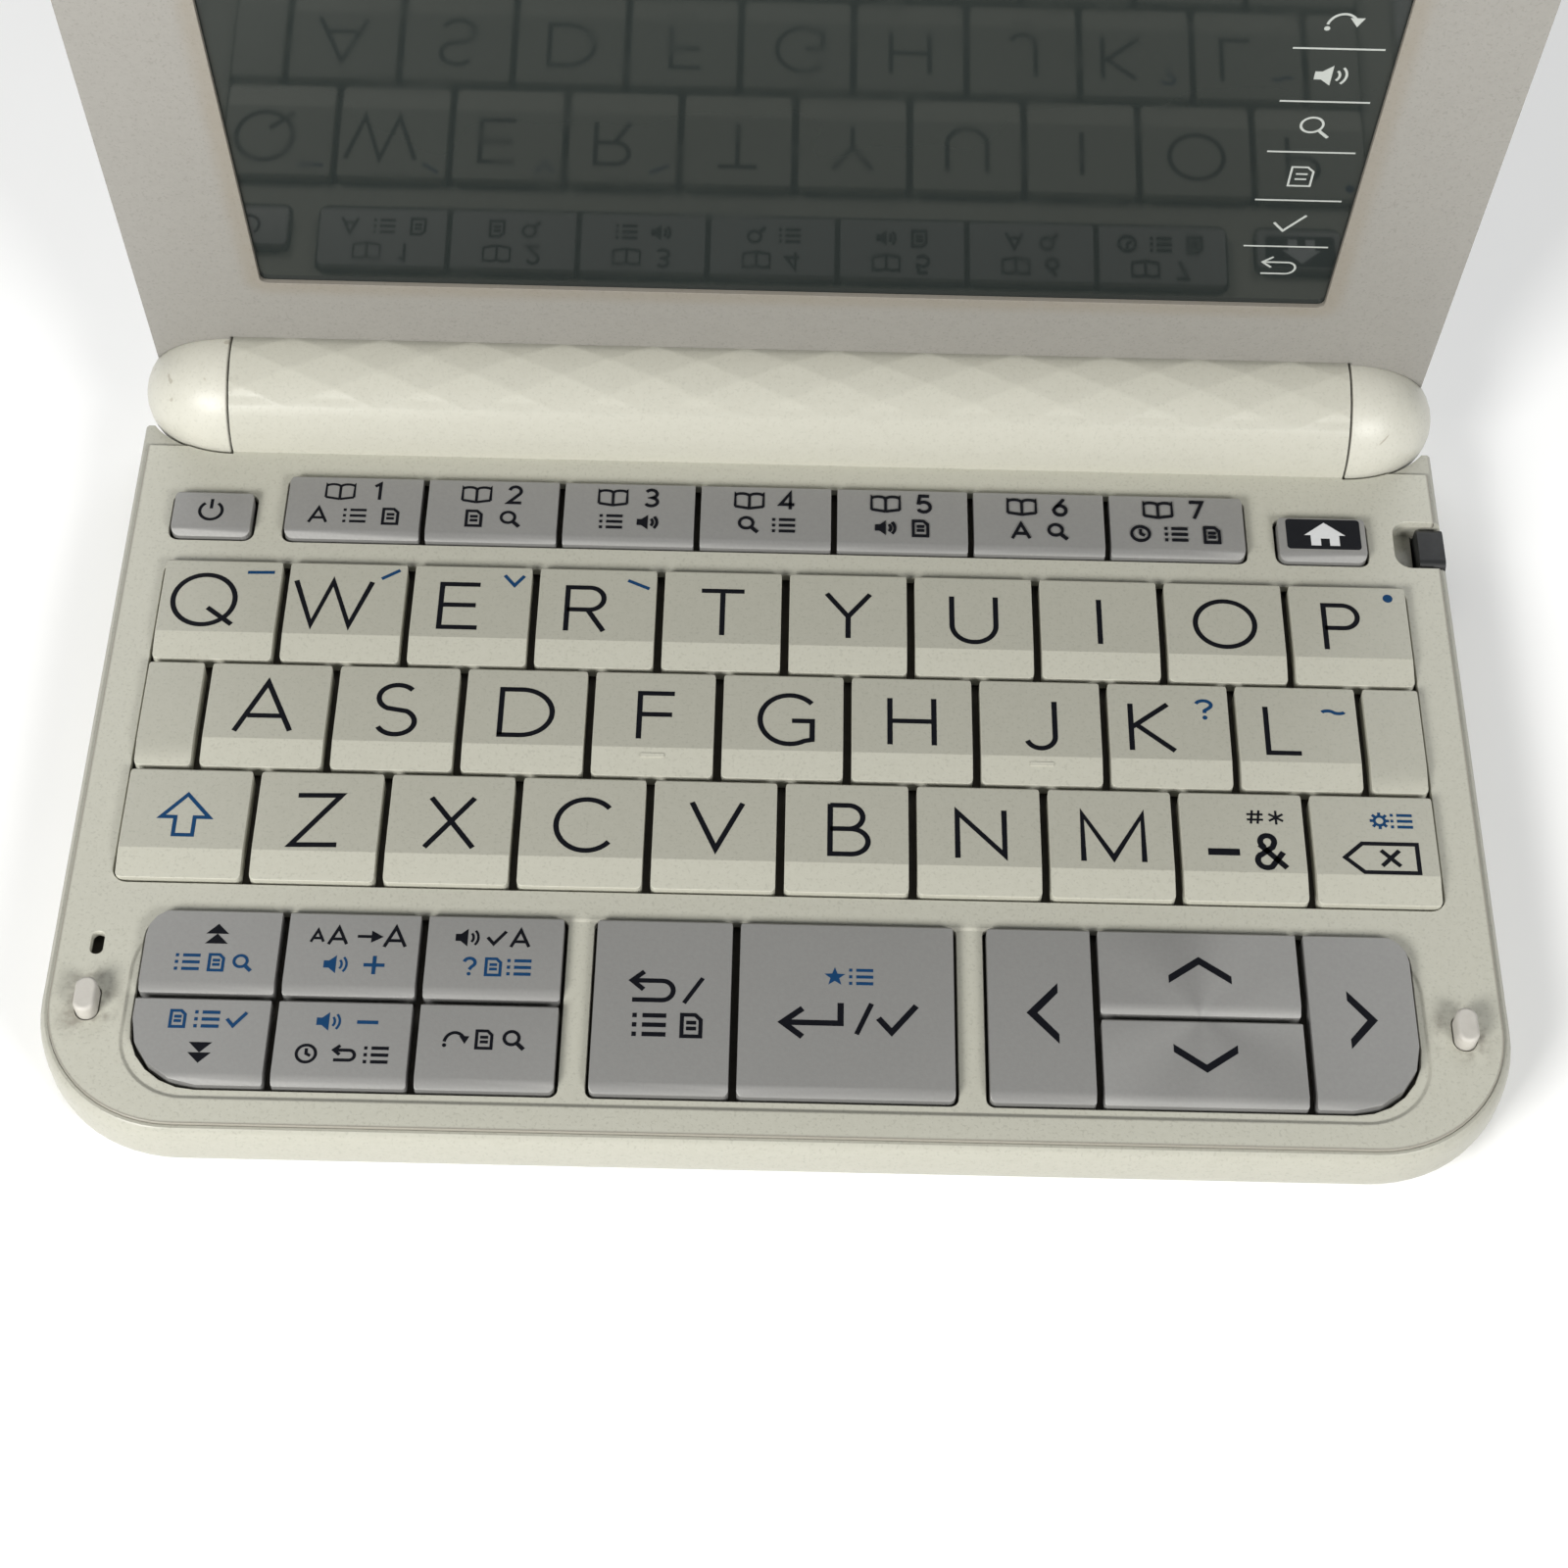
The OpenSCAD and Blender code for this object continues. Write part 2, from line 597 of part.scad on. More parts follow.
// Space of the barrel and the end caps, cut out of the lid pieces.
module hinge_space(grow) {
    translate([-cap_x, 0, 0]) rotate([0, 90, 0]) cylinder(r = barrel_r + barrel_clear, h = 2 * cap_x);
    translate([cap_x - eps, 0, 0]) cap_solid(cap_r + grow, cap_len + grow);
    translate([eps - cap_x, 0, 0]) mirror([1, 0, 0]) cap_solid(cap_r + grow, cap_len + grow);
}

// Outer shell of the lid.
module lid_back() color(pearl) on_lid() {
    difference() {
        soft_shell(lid_w / 2, -lid_len, lid_arm_end, lid_edge);
        translate([0, 0, bezel_h + bezel_t - 1]) linear_extrude(lid_in_z - bezel_h - bezel_t + 1) difference() {
            lid_outline(1.6);
            translate([-beyond, -lid_solid]) square(2 * beyond);
        }
        hinge_space(0.05);
    }
}

// Inner face of the lid with the screen window.
module lid_bezel() color([0.80, 0.79, 0.76]) on_lid() {
    near = -window_near;
    far = near - window_l;
    hw = window_w / 2;
    difference() {
        translate([0, 0, bezel_h]) linear_extrude(bezel_t) difference() {
            lid_outline(0.3);
            polygon(frame4(-hw, hw, far, near, same(0.8), 4));
        }
        box(-hw - 2.2, hw + 2.2, far - 2.2, near + 2.2, bezel_h + screen_sink, bezel_h + bezel_t + 1);
        hinge_space(0.05);
    }
}

// Touch glass lying in the recess behind the bezel.
module touch_screen() color([0.20, 0.24, 0.23]) on_lid() {
    near = -window_near;
    far = near - window_l;
    hw = window_w / 2;
    box(-hw - 2, hw + 2, far - 2, near + 2, bezel_h + screen_sink, bezel_h + screen_sink + glass_t);
}

// Display panel in its thin metal frame.
module lcd_module() color(steel) on_lid() {
    near = -window_near;
    far = near - window_l;
    hw = window_w / 2;
    z0 = bezel_h + screen_sink + glass_t;
    box(-hw - 1.5, hw + 1.5, far - 1.5, near + 1.5, z0, z0 + 1.6);
    box(-hw + 4, hw - 4, far + 4, near - 4, z0 + 1.5, lid_in_z - 0.1);
}

// Domed end caps of the hinge, fixed to the lid.
module hinge_caps() color(ivory) {
    for (s = [0, 1]) mirror([s, 0, 0]) translate([cap_x, axis_y, axis_z]) difference() {
        cap_solid(cap_r, cap_len);
        difference() {
            translate([-1, 0, 0]) cap_solid(cap_r - 1.4, cap_len - 0.4);
            translate([-2, 0, 0]) rotate([0, 90, 0]) cylinder(r = shaft_r + 1.5, h = 20);
        }
        translate([-1, 0, 0]) rotate([0, 90, 0]) cylinder(r = shaft_r + 0.02, h = shaft_in + 1.2);
    }
}

// Stepped steel shafts, pressed into the caps and turning in the barrel.
module hinge_shafts() color(steel) {
    for (s = [0, 1]) mirror([s, 0, 0]) {
        axle(shaft_r, barrel_half - 3.3, cap_x + shaft_in);
        axle(shaft_r + 1.4, barrel_half - 4.0, barrel_half - 3.05);
    }
}

module key_q() color(ivory) letter_key(-4.5, 0);
module key_w() color(ivory) letter_key(-3.5, 0);
module key_e() color(ivory) letter_key(-2.5, 0);
module key_r() color(ivory) letter_key(-1.5, 0);
module key_t() color(ivory) letter_key(-0.5, 0);
module key_y() color(ivory) letter_key(0.5, 0);
module key_u() color(ivory) letter_key(1.5, 0);
module key_i() color(ivory) letter_key(2.5, 0);
module key_o() color(ivory) letter_key(3.5, 0);
module key_p() color(ivory) letter_key(4.5, 0);
module key_a() color(ivory) letter_key(-4, 1);
module key_s() color(ivory) letter_key(-3, 1);
module key_d() color(ivory) letter_key(-2, 1);
module key_f() color(ivory) letter_key(-1, 1);
module key_g() color(ivory) letter_key(0, 1);
module key_h() color(ivory) letter_key(1, 1);
module key_j() color(ivory) letter_key(2, 1);
module key_k() color(ivory) letter_key(3, 1);
module key_l() color(ivory) letter_key(4, 1);
module key_shift() color(ivory) letter_key(-4.5, 2);
module key_z() color(ivory) letter_key(-3.5, 2);
module key_x() color(ivory) letter_key(-2.5, 2);
module key_c() color(ivory) letter_key(-1.5, 2);
module key_v() color(ivory) letter_key(-0.5, 2);
module key_b() color(ivory) letter_key(0.5, 2);
module key_n() color(ivory) letter_key(1.5, 2);
module key_m() color(ivory) letter_key(2.5, 2);
module key_dash() color(ivory) letter_key(3.5, 2);
module key_delete() color(ivory) letter_key(4.5, 2);

// Small single key at an end of the back row.
module side_key(x) {
    back_row_key(x[0], x[1], side_key_front, side_key_back, side_stem_y);
}
module wide_key(i) {
    silver_key(wide_left(i), wide_right(i), silver_front, silver_back, same(0.6));
}
module arrow_key(i, y, r) {
    silver_key(arrow_left(i), arrow_right(i), y[0], y[1], r);
}
module function_cap(i, y, r) {
    silver_key(fn_left(i), fn_right(i), y[0], y[1], r);
}
module key_power() color(silver) side_key(power_x);
module key_home() color(silver) side_key(home_x);
module key_back() color(silver) wide_key(0);
module key_enter() color(silver) wide_key(1);
module key_left() color(silver) arrow_key(0, [silver_front, silver_back], [0.6, 0.3, 0.3, 0.6]);
module key_right() color(silver) arrow_key(2, [silver_front, silver_back], [0.3, 7, 3, 0.3]);
module key_up() color(silver) arrow_key(1, silver_y[0], same(0.3));
module key_down() color(silver) arrow_key(1, silver_y[1], same(0.3));

// One column of the six function keys at the left.
module function_column(i) {
    edge = i == 2 ? 0.6 : 0.3;
    function_cap(i, silver_y[0], [0.3, 0.3, edge, i == 0 ? 3 : 0.3]);
    function_cap(i, silver_y[1], [i == 0 ? 7 : 0.3, edge, 0.3, 0.3]);
}
module function_keys_left() color(silver) function_column(0);
module function_keys_middle() color(silver) function_column(1);
module function_keys_right() color(silver) function_column(2);

// Seven dictionary keys of the back row.
module dictionary_keys() color(silver) {
    for (i = [0:6]) {
        g = 0.35;
        x0 = dict_left + i * dict_pitch + (i > 0 ? g : 0);
        x1 = dict_left + (i + 1) * dict_pitch - (i < 6 ? g : 0);
        rl = i == 0 ? 0.9 : 0.2;
        rr = i == 6 ? 0.9 : 0.2;
        cap_form(x0, x1, dict_front, dict_back, [rl, rr, rr, rl], 0.9, 0.7);
        stem(dict_left + (i + 0.5) * dict_pitch, dict_stem_y, sheet_top - 0.2);
    }
}

lower_case();
upper_case();
hinge_barrel();
battery_cover();
battery_cells();
battery_contacts();
main_board();
key_mat();
speaker();
stylus();
rubber_pads();
case_screws();
blank_caps();
lid_back();
lid_bezel();
touch_screen();
lcd_module();
hinge_caps();
hinge_shafts();
key_q();
key_w();
key_e();
key_r();
key_t();
key_y();
key_u();
key_i();
key_o();
key_p();
key_a();
key_s();
key_d();
key_f();
key_g();
key_h();
key_j();
key_k();
key_l();
key_shift();
key_z();
key_x();
key_c();
key_v();
key_b();
key_n();
key_m();
key_dash();
key_delete();
key_power();
key_home();
key_back();
key_enter();
key_left();
key_right();
key_up();
key_down();
function_keys_left();
function_keys_middle();
function_keys_right();
dictionary_keys();
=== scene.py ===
import math
from contextlib import contextmanager

import bmesh
import bpy
from mathutils import Matrix, Vector


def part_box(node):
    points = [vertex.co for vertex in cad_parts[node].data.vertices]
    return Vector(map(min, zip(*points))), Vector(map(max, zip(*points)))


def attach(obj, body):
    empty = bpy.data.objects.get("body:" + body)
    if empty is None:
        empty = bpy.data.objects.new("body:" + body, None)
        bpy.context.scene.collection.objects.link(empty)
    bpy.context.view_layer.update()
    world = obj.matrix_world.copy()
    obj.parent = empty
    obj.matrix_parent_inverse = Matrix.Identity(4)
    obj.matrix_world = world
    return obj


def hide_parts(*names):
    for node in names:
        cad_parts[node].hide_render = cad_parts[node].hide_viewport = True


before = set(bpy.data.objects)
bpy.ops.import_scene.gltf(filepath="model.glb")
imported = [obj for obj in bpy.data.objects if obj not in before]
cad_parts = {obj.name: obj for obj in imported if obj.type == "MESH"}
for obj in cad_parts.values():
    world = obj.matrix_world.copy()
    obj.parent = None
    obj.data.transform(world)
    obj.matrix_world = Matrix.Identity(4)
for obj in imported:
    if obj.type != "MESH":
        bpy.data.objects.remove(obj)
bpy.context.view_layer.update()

# Table, light and viewpoint.
# The dictionary lies open on a plain pale table and is seen from above its front edge,
# with the lid standing up behind the keys. Soft light falls on it from the front left and
# the front right, a little from overhead, and some on the table behind it.
MM = 0.001
scene = bpy.context.scene
scene.view_settings.view_transform = "Standard"


def feed(tree, socket, value):
    """Gives a socket a link or a plain value."""
    if isinstance(value, Link):
        tree.links.new(value.socket, socket)
    else:
        socket.default_value = value


class Link:
    """One socket of a node tree, with the arithmetic that a pattern needs."""

    def __init__(self, tree, socket):
        self.tree = tree
        self.socket = socket

    def math(self, operation, *others, clamp=False):
        node = self.tree.nodes.new("ShaderNodeMath")
        node.operation = operation
        node.use_clamp = clamp
        for socket, value in zip(node.inputs, (self,) + others):
            feed(self.tree, socket, value)
        return Link(self.tree, node.outputs[0])

    def __add__(self, other):
        return self.math("ADD", other)

    def __sub__(self, other):
        return self.math("SUBTRACT", other)

    def __mul__(self, other):
        return self.math("MULTIPLY", other)

    def __truediv__(self, other):
        return self.math("DIVIDE", other)

    def __gt__(self, other):
        return self.math("GREATER_THAN", other)

    def __lt__(self, other):
        return self.math("LESS_THAN", other)

    def __abs__(self):
        return self.math("ABSOLUTE")

    def __rsub__(self, number):
        return self.math("MULTIPLY_ADD", -1.0, number)

    __radd__ = __add__
    __rmul__ = __mul__

    def clamped(self):
        """Held between 0 and 1."""
        return self.math("ADD", 0.0, clamp=True)

    def between(self, low, high):
        """0 below low, 1 above high, with a soft step in the middle."""
        t = ((self - low) / (high - low)).clamped()
        return t * t * (3.0 - 2.0 * t)


class Recipe:
    """Node tree of one finish, or of one rule-made shape."""

    def __init__(self, tree):
        self.tree = tree

    def node(self, kind, settings=None, values=None, output=0):
        """Any node, from its type, its settings and the values or links of its sockets."""
        node = self.tree.nodes.new(kind)
        for key, value in (settings or {}).items():
            setattr(node, key, value)
        for key, value in (values or {}).items():
            feed(self.tree, node.inputs[key], value)
        return Link(self.tree, node.outputs[output])

    def parted(self, vector, wanted="XYZ"):
        """The components of a vector that are wanted."""
        node = self.tree.nodes.new("ShaderNodeSeparateXYZ")
        self.tree.links.new(vector.socket, node.inputs[0])
        return [Link(self.tree, node.outputs[axis]) for axis in wanted]


class Finish(Recipe):
    """A moulded, printed or metal surface of this dictionary."""

    def __init__(self, name, **constants):
        self.material = bpy.data.materials.new(name)
        self.material.use_nodes = True
        super().__init__(self.material.node_tree)
        self.surface = self.tree.nodes["Principled BSDF"]
        for key, value in constants.items():
            self.surface.inputs[key].default_value = value
        self.place = self.node("ShaderNodeTexCoord", output="Object")

    def axes(self, wanted="XYZ"):
        """Object coordinates in millimetres."""
        return [axis * (1.0 / MM) for axis in self.parted(self.place, wanted)]

    def upward(self):
        """1 where the surface faces straight up, 0 on a wall."""
        return self.parted(self.node("ShaderNodeTexCoord", output="Normal"), "Z")[0]

    def noise(self, scale, detail=2.0, rough=0.5):
        """Grey noise with features of about 1000 / scale millimetres."""
        return self.node("ShaderNodeTexNoise", None, {
            "Vector": self.place, "Scale": scale, "Detail": detail, "Roughness": rough})

    def blend(self, amount, low, high):
        """Colour between low and high. Sockets 0, 6 and 7 are the amount and the two colours."""
        low, high = (end if isinstance(end, Link) else (*end, 1.0) for end in (low, high))
        ends = {0: amount, 6: low, 7: high}
        return self.node("ShaderNodeMix", {"data_type": "RGBA"}, ends, output=2)

    def shaded(self, colour, value):
        """A colour made lighter or darker."""
        return self.node("ShaderNodeHueSaturation", None, {"Value": value, "Color": colour})

    def give(self, socket, link):
        """Feeds a socket of the surface, in place of what fed it before."""
        self.tree.links.new(link.socket, self.surface.inputs[socket])

    def bump(self, height, distance, strength=1.0):
        """Raises the skin by a distance in metres where height is 1."""
        self.give("Normal", self.node(
            "ShaderNodeBump", None, {"Height": height, "Strength": strength, "Distance": distance}))


def linked(name, data):
    """A new object of the scene."""
    thing = bpy.data.objects.new(name, data)
    scene.collection.objects.link(thing)
    return thing


def put(name, points, faces, finish):
    """A mesh with one finish, made from points in millimetres."""
    mesh = bpy.data.meshes.new(name)
    mesh.from_pydata([[c * MM for c in p] for p in points], [], faces)
    mesh.materials.append(finish.material)
    return linked(name, mesh)


@contextmanager
def opened(piece):
    """Opens the mesh of a piece for editing and writes it back afterwards."""
    shape = bmesh.new()
    shape.from_mesh(piece.data)
    yield shape
    shape.to_mesh(piece.data)
    shape.free()


def worked_out(piece):
    """The plain mesh that an object's modifiers make; the modifiers are taken off."""
    bpy.context.view_layer.update()
    seen = piece.evaluated_get(bpy.context.evaluated_depsgraph_get())
    mesh = bpy.data.meshes.new_from_object(seen)
    piece.modifiers.clear()
    return mesh


table = Finish("pale_table", Roughness=0.85)
table.give("Base Color", table.blend(table.noise(30.0, 3.0), (0.93, 0.93, 0.925), (0.96, 0.96, 0.955)))
table.bump(table.noise(900.0), 0.00005, 0.1)
FAR = 4000
floor = put("table_top", [(-FAR, -FAR, 0), (FAR, -FAR, 0), (FAR, FAR, 0), (-FAR, FAR, 0)],
            [(0, 1, 2, 3)], table)

# The viewpoint was solved from the straight edges of the case, the lid and the key rows.
camera = linked("viewpoint", bpy.data.cameras.new("viewpoint"))
camera.data.lens = 65.88
camera.data.sensor_width = 36.0
camera.data.clip_start = 0.01
right = Vector((0.999727, 0.016874, 0.016179))
down = Vector((0.022999, -0.833936, -0.551382))
ahead = Vector((0.004188, 0.551604, -0.834096))
turn = Matrix((right, -down, -ahead)).transposed().to_4x4()
camera.matrix_world = Matrix.Translation((-0.0010255, -0.1760097, 0.2610220)) @ turn
scene.camera = camera

scene.world = bpy.data.worlds.new("room")
scene.world.use_nodes = True
sky = scene.world.node_tree.nodes["Background"]
sky.inputs["Color"].default_value = (0.93, 0.96, 1.0, 1.0)
sky.inputs["Strength"].default_value = 0.13


def soft_light(name, place, target, size, power, colour):
    """A rectangular lamp at a place, turned to a target; metres and watts."""
    lamp = bpy.data.lights.new(name, "AREA")
    lamp.shape = "RECTANGLE"
    lamp.size, lamp.size_y = size
    lamp.energy = power
    lamp.color = colour
    holder = linked(name, lamp)
    aim = Vector(target) - Vector(place)
    holder.rotation_euler = aim.to_track_quat("-Z", "Y").to_euler()
    holder.location = place


soft_light("left_light", (-0.32, -0.40, 0.30), (-0.03, 0, 0), (0.22, 0.18), 3.6, (1.0, 0.99, 0.965))
soft_light("right_light", (0.34, -0.40, 0.32), (0.03, 0, 0), (0.22, 0.18), 2.25, (1.0, 0.995, 0.975))
soft_light("ceiling_light", (0.0, 0.10, 1.20), (0, 0, 0), (1.2, 1.0), 0.2, (0.97, 0.985, 1.0))
soft_light("back_light", (0.0, 0.75, 0.62), (0, 0.15, 0), (0.9, 0.4), 4.4, (0.98, 0.99, 1.0))

# Lower case and keyboard plate.
# Two mouldings of warm ivory ABS with a fine pearl speckle and a satin skin. The plate drops
# into the rim of the lower case and four screws from below pull the two together.
def moulded(name, light, deep, rough=0.36, speckle=0.5):
    """Speckled satin plastic. Its tint and its skin are kept for what a piece lays over them."""
    finish = Finish(name, IOR=1.50)
    cloud = finish.noise(22.0, 3.0)
    grains = finish.noise(3200.0, 1.0).between(0.56, 0.72) * speckle
    pearl = finish.noise(1300.0, 2.0).between(0.35, 0.75) * 0.35
    body = finish.blend((cloud * 0.5 + pearl).clamped(), light, deep)
    finish.tint = finish.blend(grains, body, tuple(c * 0.80 for c in deep))
    finish.give("Base Color", finish.tint)
    finish.give("Roughness", cloud * 0.10 + rough - 0.05)
    finish.skin = finish.noise(1700.0, 2.0) * 0.6 + grains * 0.4
    finish.bump(finish.skin, 0.00004, 0.35)
    return finish


def rounded_box(x, y, middle, half, corner):
    """Distance in millimetres outside an upright rounded rectangle; negative inside."""
    dx = abs(x - middle[0]) - half[0] + corner
    dy = abs(y - middle[1]) - half[1] + corner
    over_x, over_y = (d.math("MAXIMUM", 0.0).math("POWER", 2.0) for d in (dx, dy))
    outside = (over_x + over_y).math("SQRT")
    return outside + dx.math("MAXIMUM", dy).math("MINIMUM", 0.0) - corner


def refined(name, node, finish, edge, angle=32.0, segments=2, keep=None, before=None):
    """A copy of a solid, its doubles merged and its sharp edges rounded where keep allows it."""
    shape = bmesh.new()
    shape.from_mesh(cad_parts[node].data)
    bmesh.ops.remove_doubles(shape, verts=shape.verts, dist=2e-6)
    bmesh.ops.dissolve_limit(shape, angle_limit=math.radians(0.6), verts=shape.verts,
                             edges=shape.edges)
    if before:
        before(shape)
    if edge:
        sharp = [e for e in shape.edges
                 if len(e.link_faces) == 2 and e.calc_face_angle(0.0) > math.radians(angle)]
        if keep:
            sharp = [e for e in sharp if keep((e.verts[0].co + e.verts[1].co) / 2 / MM)]
        bmesh.ops.bevel(shape, geom=sharp, offset=edge * MM, segments=segments, profile=0.5,
                        affect="EDGES", clamp_overlap=True)
    mesh = bpy.data.meshes.new(name)
    shape.to_mesh(mesh)
    shape.free()
    mesh.materials.append(finish.material)
    piece = linked(name, mesh)
    soften(piece)
    return piece


def soften(piece, angle=40.0):
    """Smooth shading that keeps flats flat and crisp edges crisp."""
    piece.data.polygons.foreach_set("use_smooth", [True] * len(piece.data.polygons))
    piece.data.set_sharp_from_angle(angle=math.radians(angle))
    weigh = piece.modifiers.new("even_normals", "WEIGHTED_NORMAL")
    weigh.keep_sharp = True


def stand_in(name, node, finish, edge, body, slot, **options):
    """A refined copy that rides on a body in the place of its solid; its slot is not used."""
    piece = refined(name, node, finish, edge, **options)
    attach(piece, body)
    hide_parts(node)
    return piece


# The tub is a shade deeper than the plate.
tub_plastic = moulded("ivory_case_plastic", (0.405, 0.400, 0.345), (0.362, 0.356, 0.301))
stand_in("case_tub", "lower_case", tub_plastic, 0.18, "base", "case_plastic")

plate_plastic = moulded("ivory_plate_plastic", (0.505, 0.500, 0.431), (0.455, 0.448, 0.379))
px, py = plate_plastic.axes("XY")
# A shallow step frames the silver keys, with painted shade along its line, and grime sits around the two
# lid pads.
front_step = rounded_box(px, py, (0.0, -36.85), (65.1, 10.55), 7.0)
plate_plastic.bump(plate_plastic.skin * 0.10 + front_step.between(-0.25, 0.25), 0.00022, 0.9)
# Painted shade: a thin darker line along the step.
step_painted_shade_line = 1.0 - abs(front_step).between(0.05, 0.45)
smudge = plate_plastic.noise(420.0, 4.0, 0.65)
pad_ring = rounded_box(abs(px), py, (68.9, -37.05), (1.2, 2.1), 1.1)
grime = (1.0 - pad_ring.between(0.0, 3.2)) * smudge.between(0.42, 0.70)
# Painted shade darkens the joint with the rim of the lower case along both sides and the front.
# The box that marks it ends far behind the plate.
plate_low, plate_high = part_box("upper_case")
HALF_DEPTH, PLATE_CORNER = 70.0, 13.95
joint_painted_shade_edge = rounded_box(px, py, (0.0, plate_low.y / MM + HALF_DEPTH), (plate_high.x / MM, HALF_DEPTH),
                     PLATE_CORNER)
# The grime round the pads is dirt; the step line and the joint are painted shade in the same dark
# colour.
dirt_and_painted_shade = grime * 0.75 + step_painted_shade_line * 0.10 + joint_painted_shade_edge.between(-0.34, -0.10) * 0.65
plate_plastic.give("Base Color", plate_plastic.blend(
    dirt_and_painted_shade.clamped(), plate_plastic.tint, (0.20, 0.18, 0.15)))
stand_in("keyboard_plate", "upper_case", plate_plastic, 0.16, "base", "case_plastic")

# Battery barrel.
# The tube across the back holds the two cells and carries the hinge. Its upper shell is one
# ivory moulding whose front and top are cut into shallow diamond facets between two smooth edges.
AXIS_Y, AXIS_Z = 42.95, 8.8
BARREL_R = 8.4


def rule_tree(name, sizes):
    """An empty Geometry Nodes tree with a named input for each size, or for another socket type."""
    tree = bpy.data.node_groups.new(name, "GeometryNodeTree")
    recipe = Recipe(tree)
    entry = tree.nodes.new("NodeGroupInput")
    recipe.presets = {}
    for label, value in sizes.items():
        preset = isinstance(value, float)
        socket = tree.interface.new_socket(
            label, in_out="INPUT", socket_type="NodeSocketFloat" if preset else value)
        if preset:
            socket.default_value = value
        recipe.presets[label] = (socket.identifier, value if preset else None)
    tree.interface.new_socket("Shape", in_out="OUTPUT", socket_type="NodeSocketGeometry")
    recipe.size = {label: Link(tree, entry.outputs[label]) for label in sizes}
    return recipe


def finish_tree(recipe, shape, finish):
    """Ends a tree in plain geometry with its material."""
    real = recipe.node("GeometryNodeRealizeInstances", None, {"Geometry": shape})
    dressed = recipe.node("GeometryNodeSetMaterial", None, {
        "Geometry": real, "Material": finish.material})
    leave = recipe.tree.nodes.new("NodeGroupOutput")
    recipe.tree.links.new(dressed.socket, leave.inputs[0])


def grown(name, recipe, start=None, values=None):
    """Evaluates a tree on a scratch object and keeps the plain mesh."""
    scratch = linked("scratch", start or bpy.data.meshes.new("scratch"))
    rule = scratch.modifiers.new("rule", "NODES")
    rule.node_group = recipe.tree
    for label, (identifier, value) in recipe.presets.items():
        value = (values or {}).get(label, value)
        if value is not None:
            rule[identifier] = value
    mesh = worked_out(scratch)
    bpy.data.objects.remove(scratch)
    mesh.name = name
    return linked(name, mesh)


barrel_plastic = moulded("ivory_barrel_plastic", (0.505, 0.499, 0.435), (0.461, 0.453, 0.388),
                         rough=0.30, speckle=0.35)
# Lengths in metres; angles in degrees round the barrel, from the front over the top.
facets = rule_tree("diamond_facets", {
    "Half Length": 0.06315,
    "Radius": (BARREL_R - 0.01) * MM,
    "Facet Length": 0.010268,
    "Facet Angle": 15.0,
    "First Row": 140.0,
    "Rows": 7.0,
    "Front Edge": 182.0,
    "Span": 183.0,
})
size = facets.size
sheet = facets.node("GeometryNodeMeshGrid", None, {
    "Size X": size["Half Length"] * 2.0, "Size Y": 1.0, "Vertices X": 247, "Vertices Y": 123})
along, across = facets.parted(facets.node("GeometryNodeInputPosition"), "XY")
angle = size["Front Edge"] - (across + 0.5) * size["Span"]
row = (size["First Row"] - angle) / size["Facet Angle"]
column = along / size["Facet Length"]
p = column + row * 0.5 - 0.5
q = row * 0.5 - column + 0.5
a, b = p.math("FRACT"), q.math("FRACT")
front_tip, back_tip = (1.0 - a) * (1.0 - b), a * b
radian = math.pi / 180.0
order = p.math("FLOOR") + q.math("FLOOR") + 1.0
middle = (size["First Row"] - order * size["Facet Angle"]) * radian
half = size["Facet Angle"] * radian
reach = size["Radius"] * ((front_tip + back_tip) * half.math("COSINE") + (1.0 - front_tip - back_tip))
slide = size["Radius"] * half.math("SINE") * (back_tip - front_tip)
# Whole facets are cut fully. The half facets of the back edge fade out, and at the front edge
# the barrel goes round again between the tips of the last whole facets.
back = (row * 2.0).clamped()
front = (1.0 - a.math("MINIMUM", b) * 4.0).clamped()
whole = (order > 0.5) * (order < size["Rows"] - 0.5)
last = order > size["Rows"] - 0.5
inside = (row > 0.0) * (row < size["Rows"] - 0.001)
faceted = whole.math("MAXIMUM", back * (1.0 - last)).math("MAXIMUM", front * last) * inside
plain_y = size["Radius"] * (angle * radian).math("COSINE")
plain_z = size["Radius"] * (angle * radian).math("SINE")
cut_y = reach * middle.math("COSINE") + slide * middle.math("SINE")
cut_z = reach * middle.math("SINE") - slide * middle.math("COSINE")
spot_y = plain_y + faceted * (cut_y - plain_y) + AXIS_Y * MM
spot_z = plain_z + faceted * (cut_z - plain_z) + AXIS_Z * MM
place = facets.node("ShaderNodeCombineXYZ", None, {0: along, 1: spot_y, 2: spot_z})
skin = facets.node("GeometryNodeSetPosition", None, {"Geometry": sheet, "Position": place})
finish_tree(facets, skin, barrel_plastic)
barrel = grown("barrel_shell", facets)
with opened(barrel) as outside:
    if max(outside.faces, key=lambda face: face.calc_center_median().z).normal.z < 0:
        bmesh.ops.reverse_faces(outside, faces=outside.faces)
    # A cell that a facet edge crosses is folded along its longer diagonal.
    bmesh.ops.triangulate(outside, faces=outside.faces, quad_method="LONG_EDGE")
# The open skin gets a closed wall on its inner side.
wall = barrel.modifiers.new("wall", "SOLIDIFY")
wall.thickness = 0.40 * MM
wall.offset = -1.0
barrel.data = worked_out(barrel)


def draw_in(shape):
    """Draws the plain outside of the barrel in under the faceted skin."""
    under = BARREL_R - 0.25
    for v in shape.verts:
        dy, dz = v.co.y / MM - AXIS_Y, v.co.z / MM - AXIS_Z
        r = math.hypot(dy, dz)
        if r > BARREL_R - 0.1:
            v.co.y = (AXIS_Y + dy * under / r) * MM
            v.co.z = (AXIS_Z + dz * under / r) * MM


core = refined("barrel_core", "hinge_barrel", barrel_plastic, 0, before=draw_in)
with opened(barrel) as joined:
    joined.from_mesh(core.data)
bpy.data.objects.remove(core)
soften(barrel, 5.0)
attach(barrel, "base")
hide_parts("hinge_barrel")

